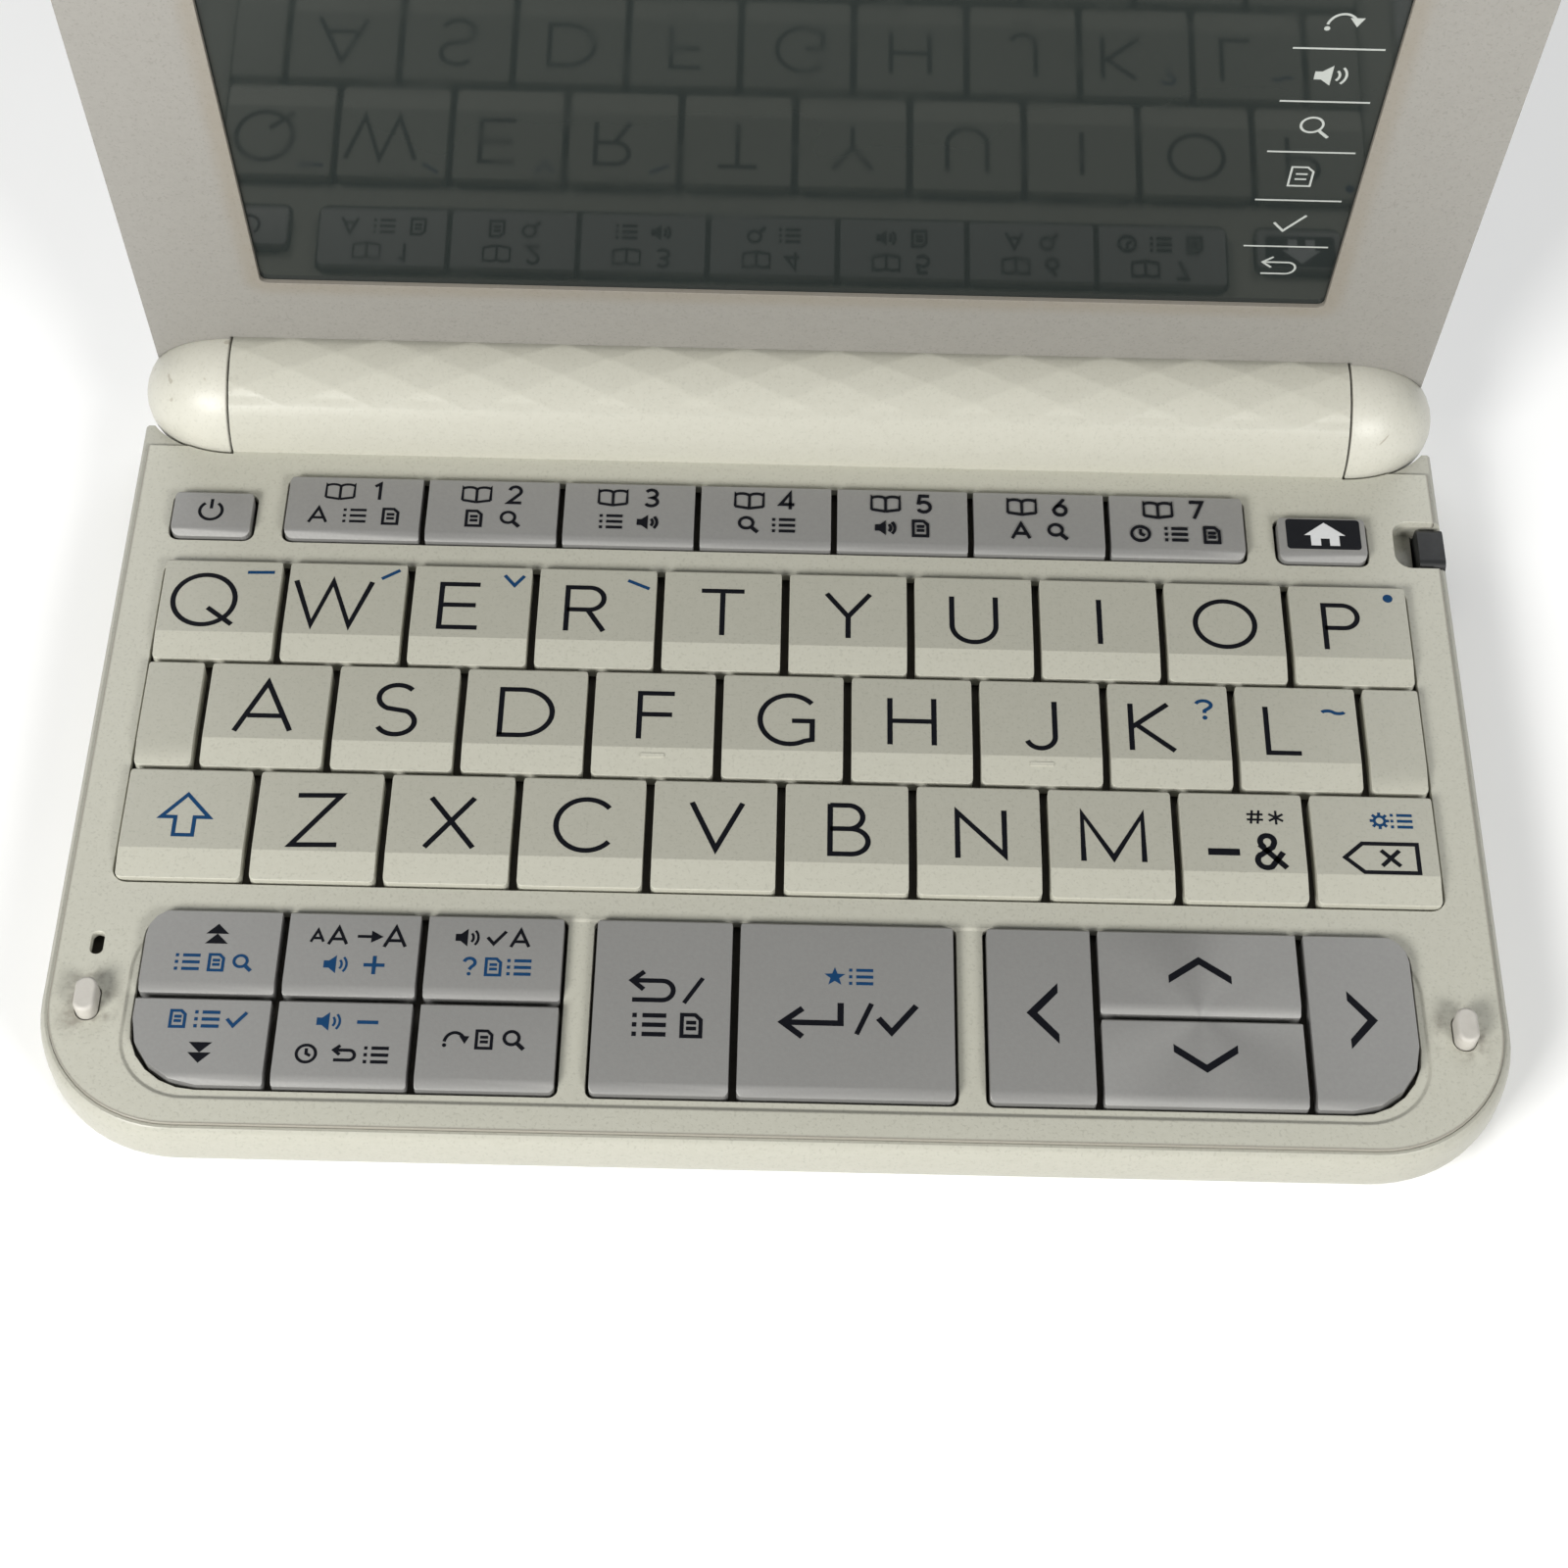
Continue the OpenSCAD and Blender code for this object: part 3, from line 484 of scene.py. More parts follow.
# Battery cover.
# A curved ivory door below and behind the barrel that slides off backwards.
stand_in("battery_door", "battery_cover", tub_plastic, 0.15, "battery_cover_body", "case_plastic")

# Hinge end caps.
# Two domed mouldings that turn with the lid; the left one is speckled with small marks and the
# right one has a short scratch.
cap_plastic = moulded("ivory_cap_plastic", (0.570, 0.562, 0.497), (0.520, 0.511, 0.443),
                      rough=0.40, speckle=0.35)
cx, cy, cz = cap_plastic.axes()
specks = cap_plastic.noise(650.0, 1.0).between(0.70, 0.74) * (cx < 0.0)
from_x, from_z = cx - 67.3, cz - 12.9
streak, beside = from_x * 0.8 + from_z * 0.6, from_z * 0.8 - from_x * 0.6
scratch = (1.0 - abs(beside).between(0.04, 0.14)) * (1.0 - abs(streak).between(0.4, 0.8)) * (cy < 40.0)
cap_plastic.give("Base Color", cap_plastic.blend(
    (specks * 0.5 + scratch * 0.6).clamped(), cap_plastic.tint, (0.30, 0.26, 0.20)))
stand_in("hinge_end_caps", "hinge_caps", cap_plastic, 0.25, "lid", "case_plastic")

# Case screws.
# Four small plated cross-head screws in deep counterbores of the underside.
SCREWS = [(-57, 20.275), (57, 20.275), (-55, -24.505), (55, -24.505)]
SCREW_FACE = 0.8


def grained(name, light, deep, grain, relief, rough=None, **constants):
    """Colour, relief and, where rough gives its spread and its least, roughness of one noise."""
    finish = Finish(name, **constants)
    cloud = finish.noise(*grain)
    finish.give("Base Color", finish.blend(cloud, light, deep))
    if rough:
        finish.give("Roughness", cloud * rough[0] + rough[1])
    finish.bump(cloud, *relief)
    return finish


def metal(name, light, deep, rough):
    """Plated or turned metal with a faint grain."""
    return grained(name, light, deep, (900.0, 3.0, 0.6), (0.00002, 0.3), (0.2, rough), Metallic=1.0)


screw_metal = metal("plated_screw", (0.62, 0.60, 0.55), (0.48, 0.46, 0.42), 0.25)


def ring(radius, height, count):
    """Points of a level circle."""
    turns = [math.tau * i / count for i in range(count)]
    return [(radius * math.cos(turn), radius * math.sin(turn), height) for turn in turns]


def cross_head():
    """Head, recess and shank of one screw, its face looking down at height 0."""
    shape = bmesh.new()
    sides = 24
    rim = [shape.verts.new(Vector(p) * MM) for p in ring(1.35, 0.0, sides)]
    arm, wide, deep = 0.85, 0.20, 0.5
    plus = [(arm, -wide), (arm, wide), (wide, wide), (wide, arm), (-wide, arm), (-wide, wide),
            (-arm, wide), (-arm, -wide), (-wide, -wide), (-wide, -arm), (wide, -arm), (wide, -wide)]
    mouth = [shape.verts.new(Vector((x, y, 0)) * MM) for x, y in plus]
    seat = [shape.verts.new(Vector((x * 0.6, y * 0.6, deep)) * MM) for x, y in plus]
    edges = [shape.edges.new(pair) for loop in (rim, mouth) for pair in zip(loop, loop[1:] + loop[:1])]
    bmesh.ops.triangle_fill(shape, use_beauty=True, use_dissolve=False, edges=edges)
    for i in range(len(plus)):
        j = (i + 1) % len(plus)
        shape.faces.new((mouth[i], mouth[j], seat[j], seat[i]))
    shape.faces.new(seat)
    last = rim
    for radius, height in ((1.5, 0.15), (1.5, 0.9), (0.7, 0.9), (0.7, 5.9)):
        loop = [shape.verts.new(Vector(p) * MM) for p in ring(radius, height, sides)]
        for i in range(sides):
            j = (i + 1) % sides
            shape.faces.new((last[i], last[j], loop[j], loop[i]))
        last = loop
    shape.faces.new(last)
    inside = [f for f in shape.faces if all(v in mouth for v in f.verts)]
    bmesh.ops.delete(shape, geom=inside, context="FACES_ONLY")
    bmesh.ops.recalc_face_normals(shape, faces=shape.faces)
    mesh = bpy.data.meshes.new("cross_head")
    shape.to_mesh(mesh)
    shape.free()
    return mesh


pattern = linked("screw_pattern", cross_head())
row_of_screws = rule_tree("screws_at_points", {
    "Points": "NodeSocketGeometry",
    "Screw": "NodeSocketObject",
    "Size": 1.0,
})
given = row_of_screws.size
model = row_of_screws.node("GeometryNodeObjectInfo", None, {"Object": given["Screw"]},
                           output="Geometry")
spots = row_of_screws.node("GeometryNodeMeshToPoints", None, {"Mesh": given["Points"]})
set_in = row_of_screws.node("GeometryNodeInstanceOnPoints", None, {
    "Points": spots, "Instance": model, "Scale": given["Size"]})
finish_tree(row_of_screws, set_in, screw_metal)
heads = bpy.data.meshes.new("screw_places")
heads.from_pydata([(x * MM, y * MM, SCREW_FACE * MM) for x, y in SCREWS], [], [])
screws = grown("case_screw_set", row_of_screws, heads, {"Screw": pattern})
bpy.data.objects.remove(pattern)
soften(screws)
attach(screws, "base")
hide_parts("case_screws")

# Rubber feet and lid pads.
# Four grey feet lie in shallow round seats below; two pill-shaped pads beside the silver keys
# stop the closed lid. The pads are worn shiny and a little dirty.
rubber = grained("pad_rubber_grey", (0.56, 0.54, 0.50), (0.43, 0.41, 0.37), (700.0, 4.0, 0.6),
                 (0.00005, 0.4), Roughness=0.5, IOR=1.45)
stand_in("feet_and_pads", "rubber_pads", rubber, 0.45, "base", "pad_rubber", angle=45.0, segments=4)

# Stylus.
# A thin dark grey moulded rod with a tapered tip. It is held by friction in a channel of the
# case, and its rounded head shows in a finger recess of the right side.
pen_plastic = grained("stylus_plastic_dark", (0.016, 0.017, 0.018), (0.011, 0.012, 0.013),
                      (1500.0, 2.0), (0.00003, 0.3), (0.15, 0.42), IOR=1.5)
# Only the head has rounded edges.
stand_in("stylus_pen", "stylus", pen_plastic, 0.35, "stylus_body", "stylus_plastic",
         angle=45.0, segments=3, keep=lambda middle: middle.x > 70.0)

# Parts inside the case.
# Key sheet, board, cells, contacts, speaker, display panel and hinge shafts stay as the solids
# they are, each in its own finish.


def dress(node, finish):
    """Gives a solid that stays in the model its finish."""
    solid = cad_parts[node]
    solid.data.materials.clear()
    solid.data.materials.append(finish.material)


dress("key_mat", grained("key_sheet_rubber", (0.140, 0.128, 0.106), (0.200, 0.184, 0.154),
                         (1200.0,), (0.00004, 0.4), Roughness=0.75))

board_finish = Finish("board_green", IOR=1.5)
cells = board_finish.node("ShaderNodeTexVoronoi", {"distance": "MANHATTAN", "feature": "F1"},
                          {"Vector": board_finish.place, "Scale": 420.0})
tracks = cells.between(0.42, 0.50)
board_finish.give("Base Color", board_finish.blend(tracks, (0.015, 0.12, 0.045), (0.03, 0.22, 0.08)))
board_finish.give("Roughness", tracks * 0.1 + 0.30)
board_finish.bump(tracks, 0.00003, 0.5)
dress("main_board", board_finish)

jacket = Finish("cell_jacket_film", IOR=1.5)
copper_end = (abs(jacket.axes("X")[0]) > 38.0) * 0.9
film = jacket.blend(jacket.noise(60.0), (0.045, 0.047, 0.052), (0.065, 0.067, 0.07))
jacket.give("Base Color", jacket.blend(copper_end, film, (0.62, 0.42, 0.22)))
jacket.give("Roughness", jacket.noise(500.0) * 0.1 + 0.22)
dress("battery_cells", jacket)

dress("battery_contacts", metal("nickel_contact", (0.66, 0.64, 0.60), (0.52, 0.50, 0.46), 0.22))
dress("hinge_shafts", metal("steel_shaft", (0.58, 0.58, 0.59), (0.46, 0.46, 0.47), 0.25))
dress("lcd_module", metal("display_metal", (0.50, 0.50, 0.51), (0.38, 0.38, 0.39), 0.35))

dress("speaker", grained("speaker_black", (0.02, 0.02, 0.021), (0.05, 0.05, 0.052),
                         (1600.0, 2.0), (0.00005, 0.5), Roughness=0.6))

# Lid.
# Outer shell and inner bezel are two greyer pearl mouldings glued edge to edge. They stand open
# 84 degrees, so patterns on them are laid out in the plane of the lid.
LID_OPEN = math.radians(84)


def lid_place(finish):
    """Millimetres across the lid, and up it from the hinge axis."""
    turn = Matrix.Rotation(LID_OPEN, 3, "X")
    shift = -(turn @ Vector((0, AXIS_Y * MM, AXIS_Z * MM)))
    laid = finish.node("ShaderNodeMapping", {"vector_type": "POINT"}, {
        "Vector": finish.place, "Location": shift, "Rotation": (LID_OPEN, 0, 0)})
    across, down = finish.parted(laid, "XY")
    return across * (1.0 / MM), down * (-1.0 / MM)


lid_plastic = moulded("pearl_lid_plastic", (0.420, 0.410, 0.378), (0.375, 0.366, 0.334),
                      rough=0.22, speckle=0.25)
lid_plastic.surface.inputs["Coat Weight"].default_value = 0.4
lid_plastic.surface.inputs["Coat Roughness"].default_value = 0.08
stand_in("lid_shell", "lid_back", lid_plastic, 0.2, "lid", "lid_plastic")

bezel_plastic = moulded("pearl_bezel_plastic", (0.271, 0.262, 0.241), (0.235, 0.227, 0.207),
                        rough=0.42)
lx, ly = lid_place(bezel_plastic)
# The bezel is a little browner round the window.
window_gap = rounded_box(lx, ly, (0.0, 52.25), (58.5, 33.75), 0.8)
warm = (1.0 - window_gap.between(0.6, 2.8)) * (bezel_plastic.noise(260.0, 3.0) * 0.5 + 0.5)
bezel_plastic.give("Base Color", bezel_plastic.blend(
    (warm * 0.55).clamped(), bezel_plastic.tint, (0.22, 0.185, 0.135)))
stand_in("lid_inner_bezel", "lid_bezel", bezel_plastic, 0.22, "lid", "bezel_plastic")

# Touch screen.
# Clear hard glass over the dark grey-green display; it mirrors the keys below it. A column of
# plain white touch symbols, parted by thin lines, is printed along its right edge.
GLASS_FACE = 2.5
glass = Finish("screen_glass_dark", Roughness=0.045, IOR=1.52)
film = glass.noise(40.0, 2.0)
glass.give("Base Color", glass.blend(film, (0.017, 0.021, 0.020), (0.021, 0.026, 0.025)))
glass.give("Roughness", glass.noise(180.0, 3.0).between(0.45, 0.8) * 0.05 + 0.04)
stand_in("touch_glass", "touch_screen", glass, 0.1, "lid", "screen_glass")


class Ink:
    """Printing on one face, a few hundredths of a millimetre proud of it."""

    ROOT = -0.03

    def __init__(self):
        self.points, self.faces, self.layer = [], [], 0

    def next_top(self):
        """Each stroke stands a little higher than the one before, so none share a surface."""
        self.layer += 1
        return 0.020 + 0.0015 * (self.layer - 1)

    def solid(self, sections, closed):
        """A ribbon whose cross sections are pairs of points on the face."""
        top = self.next_top()
        base = len(self.points)
        for left, right in sections:
            self.points += [(*left, self.ROOT), (*left, top), (*right, top), (*right, self.ROOT)]
        count = len(sections)
        for i in range(count if closed else count - 1):
            a, b = base + 4 * i, base + 4 * ((i + 1) % count)
            for j in range(4):
                self.faces.append((a + j, a + (j + 1) % 4, b + (j + 1) % 4, b + j))
        if not closed:
            self.faces.append(tuple(base + j for j in (3, 2, 1, 0)))
            self.faces.append(tuple(base + 4 * (count - 1) + j for j in (0, 1, 2, 3)))

    def stroke(self, path, width, closed=False):
        """A line of one width along a path, mitred where it turns."""
        path = [here for i, here in enumerate(path) if i == 0 or math.dist(here, path[i - 1]) > 0.01]
        count = len(path)
        sections = []
        for i, here in enumerate(path):
            before = path[(i - 1) % count] if closed or i else None
            after = path[(i + 1) % count] if closed or i < count - 1 else None
            runs = [Vector((end[0] - start[0], end[1] - start[1])).normalized()
                    for start, end in ((before, here), (here, after)) if start and end]
            along = (runs[0] + runs[-1]).normalized()
            side = Vector((-along.y, along.x))
            spread = width / 2 / max(0.4, abs(side.dot(Vector((-runs[0].y, runs[0].x)))))
            spot = Vector(here)
            sections.append((tuple(spot + side * spread), tuple(spot - side * spread)))
        self.solid(sections, closed)

    def fill(self, outline):
        """A flat filled outline."""
        area = sum(outline[i - 1][0] * p[1] - p[0] * outline[i - 1][1] for i, p in enumerate(outline))
        outline = outline if area > 0 else outline[::-1]
        top = self.next_top()
        base, count = len(self.points), len(outline)
        self.points += [(*p, top) for p in outline] + [(*p, self.ROOT) for p in outline]
        self.faces.append(tuple(range(base, base + count)))
        self.faces.append(tuple(range(base + 2 * count - 1, base + count - 1, -1)))
        for i in range(count):
            j = (i + 1) % count
            self.faces.append((base + j, base + i, base + count + i, base + count + j))

    def print_on(self, name, surface, finish, body):
        """Lays the printing on a surface, a rule that gives each point its place in millimetres."""
        piece = put(name, [surface(*p) for p in self.points], self.faces, finish)
        with opened(piece) as shape:
            bmesh.ops.recalc_face_normals(shape, faces=shape.faces)
        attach(piece, body)
        return piece


def bow(cx, cy, rx, ry, start, end, count=24):
    """Points of an elliptic arc, angles in degrees."""
    turns = [math.radians(start + (end - start) * i / count) for i in range(count + 1)]
    return [(cx + rx * math.cos(turn), cy + ry * math.sin(turn)) for turn in turns]


def circle(cx, cy, r, count=32):
    """Points of a circle; the last isn't the first again."""
    return bow(cx, cy, r, r, 0, 360 - 360 / count, count - 1)


def moved(path, x, y, scale=1.0):
    """A path scaled and shifted."""
    return [(x + u * scale, y + v * scale) for u, v in path]


def printing(name, light, deep, rough=0.50):
    """Pad-printed ink with a faint unevenness."""
    return grained(name, light, deep, (2600.0, 2.0), (0.00001, 0.3), (0.12, rough), IOR=1.2)


def symbol(*marks):
    """A rule that draws lines and filled shapes about a middle, at a scale.

    A mark is a path and its thickness, which is 0 for a filled shape; True closes the line.
    """
    def draw(ink, x, y, s, width):
        for path, thick, *closed in marks:
            path = moved(path, x, y, s)
            if thick:
                ink.stroke(path, width * thick, *closed)
            else:
                ink.fill(path)
    return draw


# Symbols used on the glass and on the keys.
draw_speaker = symbol(
    ([(-1.15, -0.42), (-0.62, -0.42), (0.12, -1.05), (0.12, 1.05), (-0.62, 0.42), (-1.15, 0.42)], 0),
    (bow(-0.05, 0, 0.75, 0.75, -42, 42, 10), 1), (bow(-0.05, 0, 1.25, 1.25, -42, 42, 12), 1))
draw_return = symbol(
    ([(-0.9, 0.55), (0.75, 0.55)] + bow(0.75, -0.1, 0.65, 0.65, 90, -90, 12) + [(-1.0, -0.75)], 1),
    ([(-0.35, 1.15), (-1.05, 0.55), (-0.35, -0.05)], 1))
draw_list = symbol(*[
    ([(start, step), (end, step)], 1)
    for step in (0.85, 0.0, -0.85) for start, end in ((-0.55, 1.35), (-1.35, -1.0))])
draw_tick = symbol(([(-1.1, 0.1), (-0.3, -0.85), (1.2, 1.0)], 1))
draw_page = symbol(
    ([(-0.85, -1.1), (-0.85, 1.1), (0.35, 1.1), (0.85, 0.6), (0.85, -1.1)], 1, True),
    ([(-0.45, 0.3), (0.45, 0.3)], 1), ([(-0.45, -0.3), (0.45, -0.3)], 1))
draw_lens = symbol((circle(-0.2, 0.25, 0.8, 28), 1, True), ([(0.38, -0.35), (1.15, -1.1)], 1.3))
draw_jump = symbol(
    (bow(0.0, -0.55, 1.1, 1.3, 170, 35, 16), 1), ([(1.5, 0.35), (0.45, 0.35), (1.05, -0.55)], 0),
    (circle(-1.05, -0.75, 0.22, 12), 0))
draw_clock = symbol((circle(0, 0, 1, 28), 1, True), ([(0, 0.6), (0, 0), (0.45, -0.25)], 1))
draw_query = symbol((bow(0.0, 0.45, 0.55, 0.50, 170, -60, 12) + [(0.0, -0.35)], 1),
                    (circle(0, -0.85, 0.204, 12), 0))
COVER = [(-1.5, -0.86), (-1.5, 0.80)] + bow(-0.78, 0.55, 0.78, 0.35, 150, 20, 6) + [(0.0, 0.55)]
draw_book = symbol(*[
    ([(way * abs(u), v) for u, v in path], 1)
    for way in (-1, 1) for path in (COVER, [(1.5, -0.86), (0, -1.12)])],
    ([(0, 0.63), (0, -1.12)], 1))


def draw_twin(ink, x, y, s, way):
    """Two triangles over each other; way is 1 for up and -1 for down."""
    for step in (-0.05, -1.05):
        foot, tip = y + way * s * step, y + way * s * (step + 1.0)
        ink.fill([(x - s, foot), (x + s, foot), (x, tip)])


white_ink = printing("screen_white_print", (0.42, 0.44, 0.42), (0.36, 0.38, 0.36), 0.06)


def on_glass(u, v, w):
    """A point of the glass: across, up from the hinge axis, and out of the face."""
    y, z = -v, GLASS_FACE - w
    c, s = math.cos(LID_OPEN), math.sin(LID_OPEN)
    return u, AXIS_Y + y * c + z * s, AXIS_Z - y * s + z * c


# From the hinge up: symbol, place across, lift, scale, and line width or way.
TOUCH_SYMBOLS = [
    (draw_return, 52.2, 0.3, 1.5, 0.24), (draw_tick, 52.3, 0.0, 1.4, 0.28),
    (draw_page, 52.3, 0.0, 1.35, 0.22), (draw_lens, 52.3, 0.0, 1.4, 0.26),
    (draw_speaker, 52.5, 0.0, 1.35, 0.26), (draw_jump, 52.4, 0.0, 1.35, 0.26),
    (draw_twin, 52.4, 0.0, 1.0, 1), (draw_twin, 52.4, 0.0, 1.0, -1)]
LINE_STEP = 7.69
touch_marks = Ink()
for i, (draw, u, lift, scale, last) in enumerate(TOUCH_SYMBOLS):
    v = 28.35 + LINE_STEP * i
    if i < len(TOUCH_SYMBOLS) - 1:
        touch_marks.stroke([(48.15, v), (57.2, v)], 0.22)
    draw(touch_marks, u, v - LINE_STEP / 2 + lift, scale, last)
touch_marks.print_on("screen_touch_symbols", on_glass, white_ink, "lid")

# Letter keys.
# Twenty-nine ivory caps with a flat top and a sloping front band, each moulded with its own
# stem. The letters are dark blue-black print, with small blue marks on some of the caps.
key_plastic = moulded("ivory_key_plastic", (0.455, 0.450, 0.386), (0.413, 0.407, 0.344),
                      rough=0.40, speckle=0.45)
# Painted light: the flat tops are painted a little darker and the front bands and edges lighter,
# standing in for how the light falls on them.
flat_top_painted_shade = key_plastic.upward().between(0.985, 0.998)
key_plastic.give("Base Color", key_plastic.shaded(key_plastic.tint, 1.12 - flat_top_painted_shade * 0.155))
dark_ink = printing("key_dark_print", (0.004, 0.0045, 0.007), (0.008, 0.0085, 0.012))
blue_ink = printing("key_blue_print", (0.007, 0.043, 0.118), (0.010, 0.052, 0.140))
LETTER_LINE = 0.57
MARK_LINE = 0.40

# Strokes of each letter in millimetres from the middle of its cap.
LETTERS = {
    "a": [[(-3.17, -2.39), (-0.18, 3.98), (2.71, -2.23)], [(-1.95, -0.35), (1.80, -0.35)]],
    "b": [[(-1.75, 3.80)] + bow(0.15, 2.35, 1.50, 1.45, 90, -90) + [(-1.75, 0.90)],
          [(-1.75, 0.90)] + bow(0.40, -0.65, 1.80, 1.55, 90, -90) + [(-1.75, -2.20), (-1.75, 3.95)]],
    "c": [bow(0.40, 0.65, 3.15, 3.15, 42, 320, 40)],
    "d": [[(-2.60, -2.10), (-2.60, 3.80)] + bow(-0.50, 0.85, 3.37, 2.95, 90, -90, 32)
          + [(-2.60, -2.10), (-2.60, -1.80)]],
    "e": [[(0.85, 3.90), (-3.30, 3.90), (-3.30, -1.95), (0.85, -1.95)], [(-3.30, 1.08), (0.52, 1.08)]],
    "f": [[(2.10, 3.70), (-1.57, 3.70), (-1.57, -2.19)], [(-1.57, 0.96), (1.91, 0.96)]],
    "g": [bow(0.70, 0.70, 3.15, 3.15, 42, 300, 38) + [(3.12, -1.85), (3.12, 0.55), (0.95, 0.55)]],
    "h": [[(-2.35, 3.80), (-2.35, -2.20)], [(2.35, 3.80), (2.35, -2.20)],
          [(-2.35, 0.85), (2.35, 0.85)]],
    "i": [[(0.0, 3.80), (0.0, -2.20)]],
    "j": [[(1.50, 3.80)] + bow(-0.05, -0.75, 1.55, 1.50, 0, -158, 18)],
    "k": [[(-4.10, 3.80), (-4.10, -2.20)], [(-0.10, 3.80), (-3.95, 0.80)],
          [(-3.55, 1.10), (0.45, -2.20)]],
    "l": [[(-3.35, 3.80), (-3.35, -2.15), (0.15, -2.15)]],
    "m": [[(-2.95, -2.35), (-2.95, 3.45), (0.20, -1.95), (3.35, 3.45), (3.35, -2.35)]],
    "n": [[(-2.25, -2.35), (-2.25, 3.30), (2.65, -1.95), (2.65, 3.60)]],
    "o": [bow(0.0, 0.90, 3.25, 3.10, 0, 352, 43)],
    "p": [[(-2.80, -2.20), (-2.80, 3.80)] + bow(-0.75, 2.25, 1.60, 1.55, 90, -90) + [(-2.80, 0.70)]],
    "q": [circle(-1.66, 1.01, 3.38, 44), [(-1.15, -0.07), (1.70, -2.28)]],
    "r": [[(-3.25, -2.06), (-3.25, 3.85)] + bow(-0.85, 2.34, 1.58, 1.51, 90, -90) + [(-3.25, 0.84)],
          [(-1.00, 0.84), (0.84, -2.03)]],
    "s": [bow(0.0, 2.42, 1.95, 1.60, 38, 180, 16) + bow(-0.20, 2.35, 1.75, 1.50, 185, 245, 6)
          + bow(0.10, -0.75, 1.95, 1.62, 60, 0, 8) + bow(0.05, -0.75, 2.00, 1.62, -5, -155, 18)],
    "t": [[(-2.35, 3.80), (2.35, 3.80)], [(0.0, 3.80), (0.0, -2.20)]],
    "u": [[(-2.40, 3.80)] + bow(0.0, -0.10, 2.40, 2.25, 180, 360) + [(2.40, 3.80)]],
    "v": [[(-2.45, 3.75), (0.15, -1.95), (2.85, 3.75)]],
    "w": [[(-5.59, 3.91), (-3.47, -2.04), (-1.51, 3.89), (0.65, -2.05), (2.75, 3.92)]],
    "x": [[(-2.14, 3.60), (2.56, -2.48)], [(2.37, 3.64), (-2.43, -2.53)]],
    "y": [[(-2.35, 3.80), (0.0, 0.70), (2.40, 3.80)], [(0.0, 0.85), (0.0, -2.20)]],
    "z": [[(-2.30, 3.50), (2.20, 3.60), (-2.50, -2.60), (2.26, -2.50)]],
}
BLUE_MARKS = {
    "q": [[(2.68, 4.87), (5.64, 4.95)]],
    "w": [[(3.71, 4.41), (5.64, 5.64)]],
    "e": [[(3.44, 5.28), (4.58, 3.91), (5.60, 5.25)]],
    "r": [[(3.27, 4.97), (5.66, 3.88)]],
    "k": [bow(3.80, 3.85, 0.82, 0.55, 165, -45, 14) + [(3.88, 3.10), (3.88, 2.80)]],
    "l": [bow(3.35, 3.20, 0.62, 0.24, 170, 20, 8) + bow(4.52, 3.36, 0.62, 0.24, 200, 350, 8)],
}
BLUE_DOTS = {"p": (4.45, 4.90, 0.55, 20), "k": (3.88, 2.20, 0.27, 12)}


def cap_middle(node):
    """Middle of a key across and along, and the height of its top."""
    low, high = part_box(node)
    return (low.x + high.x) / 2 / MM, (low.y + high.y) / 2 / MM, high.z / MM


def flat_face(x, y, z):
    """A level face, its points counted from (x, y)."""
    return lambda u, v, w: (x + u, y + v, z + w)


def print_key(node, what, finish, marks):
    """Prints on the flat top of a key, round its middle, and lets the print go down with it.

    Each mark is a rule that draws in ink, followed by the values it draws with.
    """
    ink = Ink()
    for draw, *values in marks:
        draw(ink, *values)
    ink.print_on(f"{node}_{what}", flat_face(*cap_middle(node)), finish, node + "_body")


def crease(piece, least=5.0, most=14.0):
    """Keeps the shallow fold between a flat top and its front band crisp."""
    with opened(piece) as shape:
        for edge in shape.edges:
            if len(edge.link_faces) == 2 and least < math.degrees(edge.calc_face_angle(0.0)) < most:
                edge.smooth = False


def key_cap(node, finish, edge, slot):
    """A key with its edges rounded, on the body that goes down."""
    crease(stand_in(node + "_cap", node, finish, edge, node + "_body", slot, angle=40.0))


def draw_lines(ink, paths, width, closed=False):
    """Strokes of one width; closed is for the first of them."""
    for i, path in enumerate(paths):
        ink.stroke(path, width, closed and i == 0)


for letter, paths in LETTERS.items():
    node = "key_" + letter
    key_cap(node, key_plastic, 0.22, "letter_keys")
    print_key(node, "letter", dark_ink, [(draw_lines, paths, LETTER_LINE, letter in "oq")])
    marks = [(draw_lines, BLUE_MARKS[letter], MARK_LINE)] if letter in BLUE_MARKS else []
    if letter in BLUE_DOTS:
        marks.append((Ink.fill, circle(*BLUE_DOTS[letter])))
    if marks:
        print_key(node, "blue_mark", blue_ink, marks)

# Finding bars.
# A low bar on the front band of F and of J, moulded with the cap, for the resting fingers.
for node in ("key_f", "key_j"):
    x, y, z = cap_middle(node)
    bar = Ink()
    bar.stroke([(-1.25, -4.2), (1.25, -4.2)], 0.42)

    def band(u, v, w):
        """A point on the front band, which drops 1 mm in every 6."""
        return x + u, y + v, z + (v + 3.285) / 6.0 + w * 5.0

    ridge = bar.print_on(node + "_finding_bar", band, key_plastic, node + "_body")

# Shift, dash and delete keys.
# Caps of the same moulding and plastic as the letter keys, in the two ends of the bottom row.
# Plain printed symbols stand in the places of words.
for node in ("key_shift", "key_dash", "key_delete"):
    key_cap(node, key_plastic, 0.22, "letter_keys")
print_key("key_shift", "arrow", blue_ink, [
    (Ink.stroke, [(-1.0, -1.7), (-1.0, 0.5), (-2.5, 0.5), (0.0, 3.3), (2.5, 0.5), (1.0, 0.5),
                  (1.0, -1.7)], 0.42, True)])
AMPERSAND = [(2.30, -1.65), (-0.55, 1.35)] + bow(0.15, 2.05, 0.85, 0.85, 225, -20, 16) + [
    (0.75, 1.25), (-0.70, 0.15)] + bow(-0.05, -0.62, 1.10, 1.05, 135, 300, 16) + [(2.00, 0.55)]
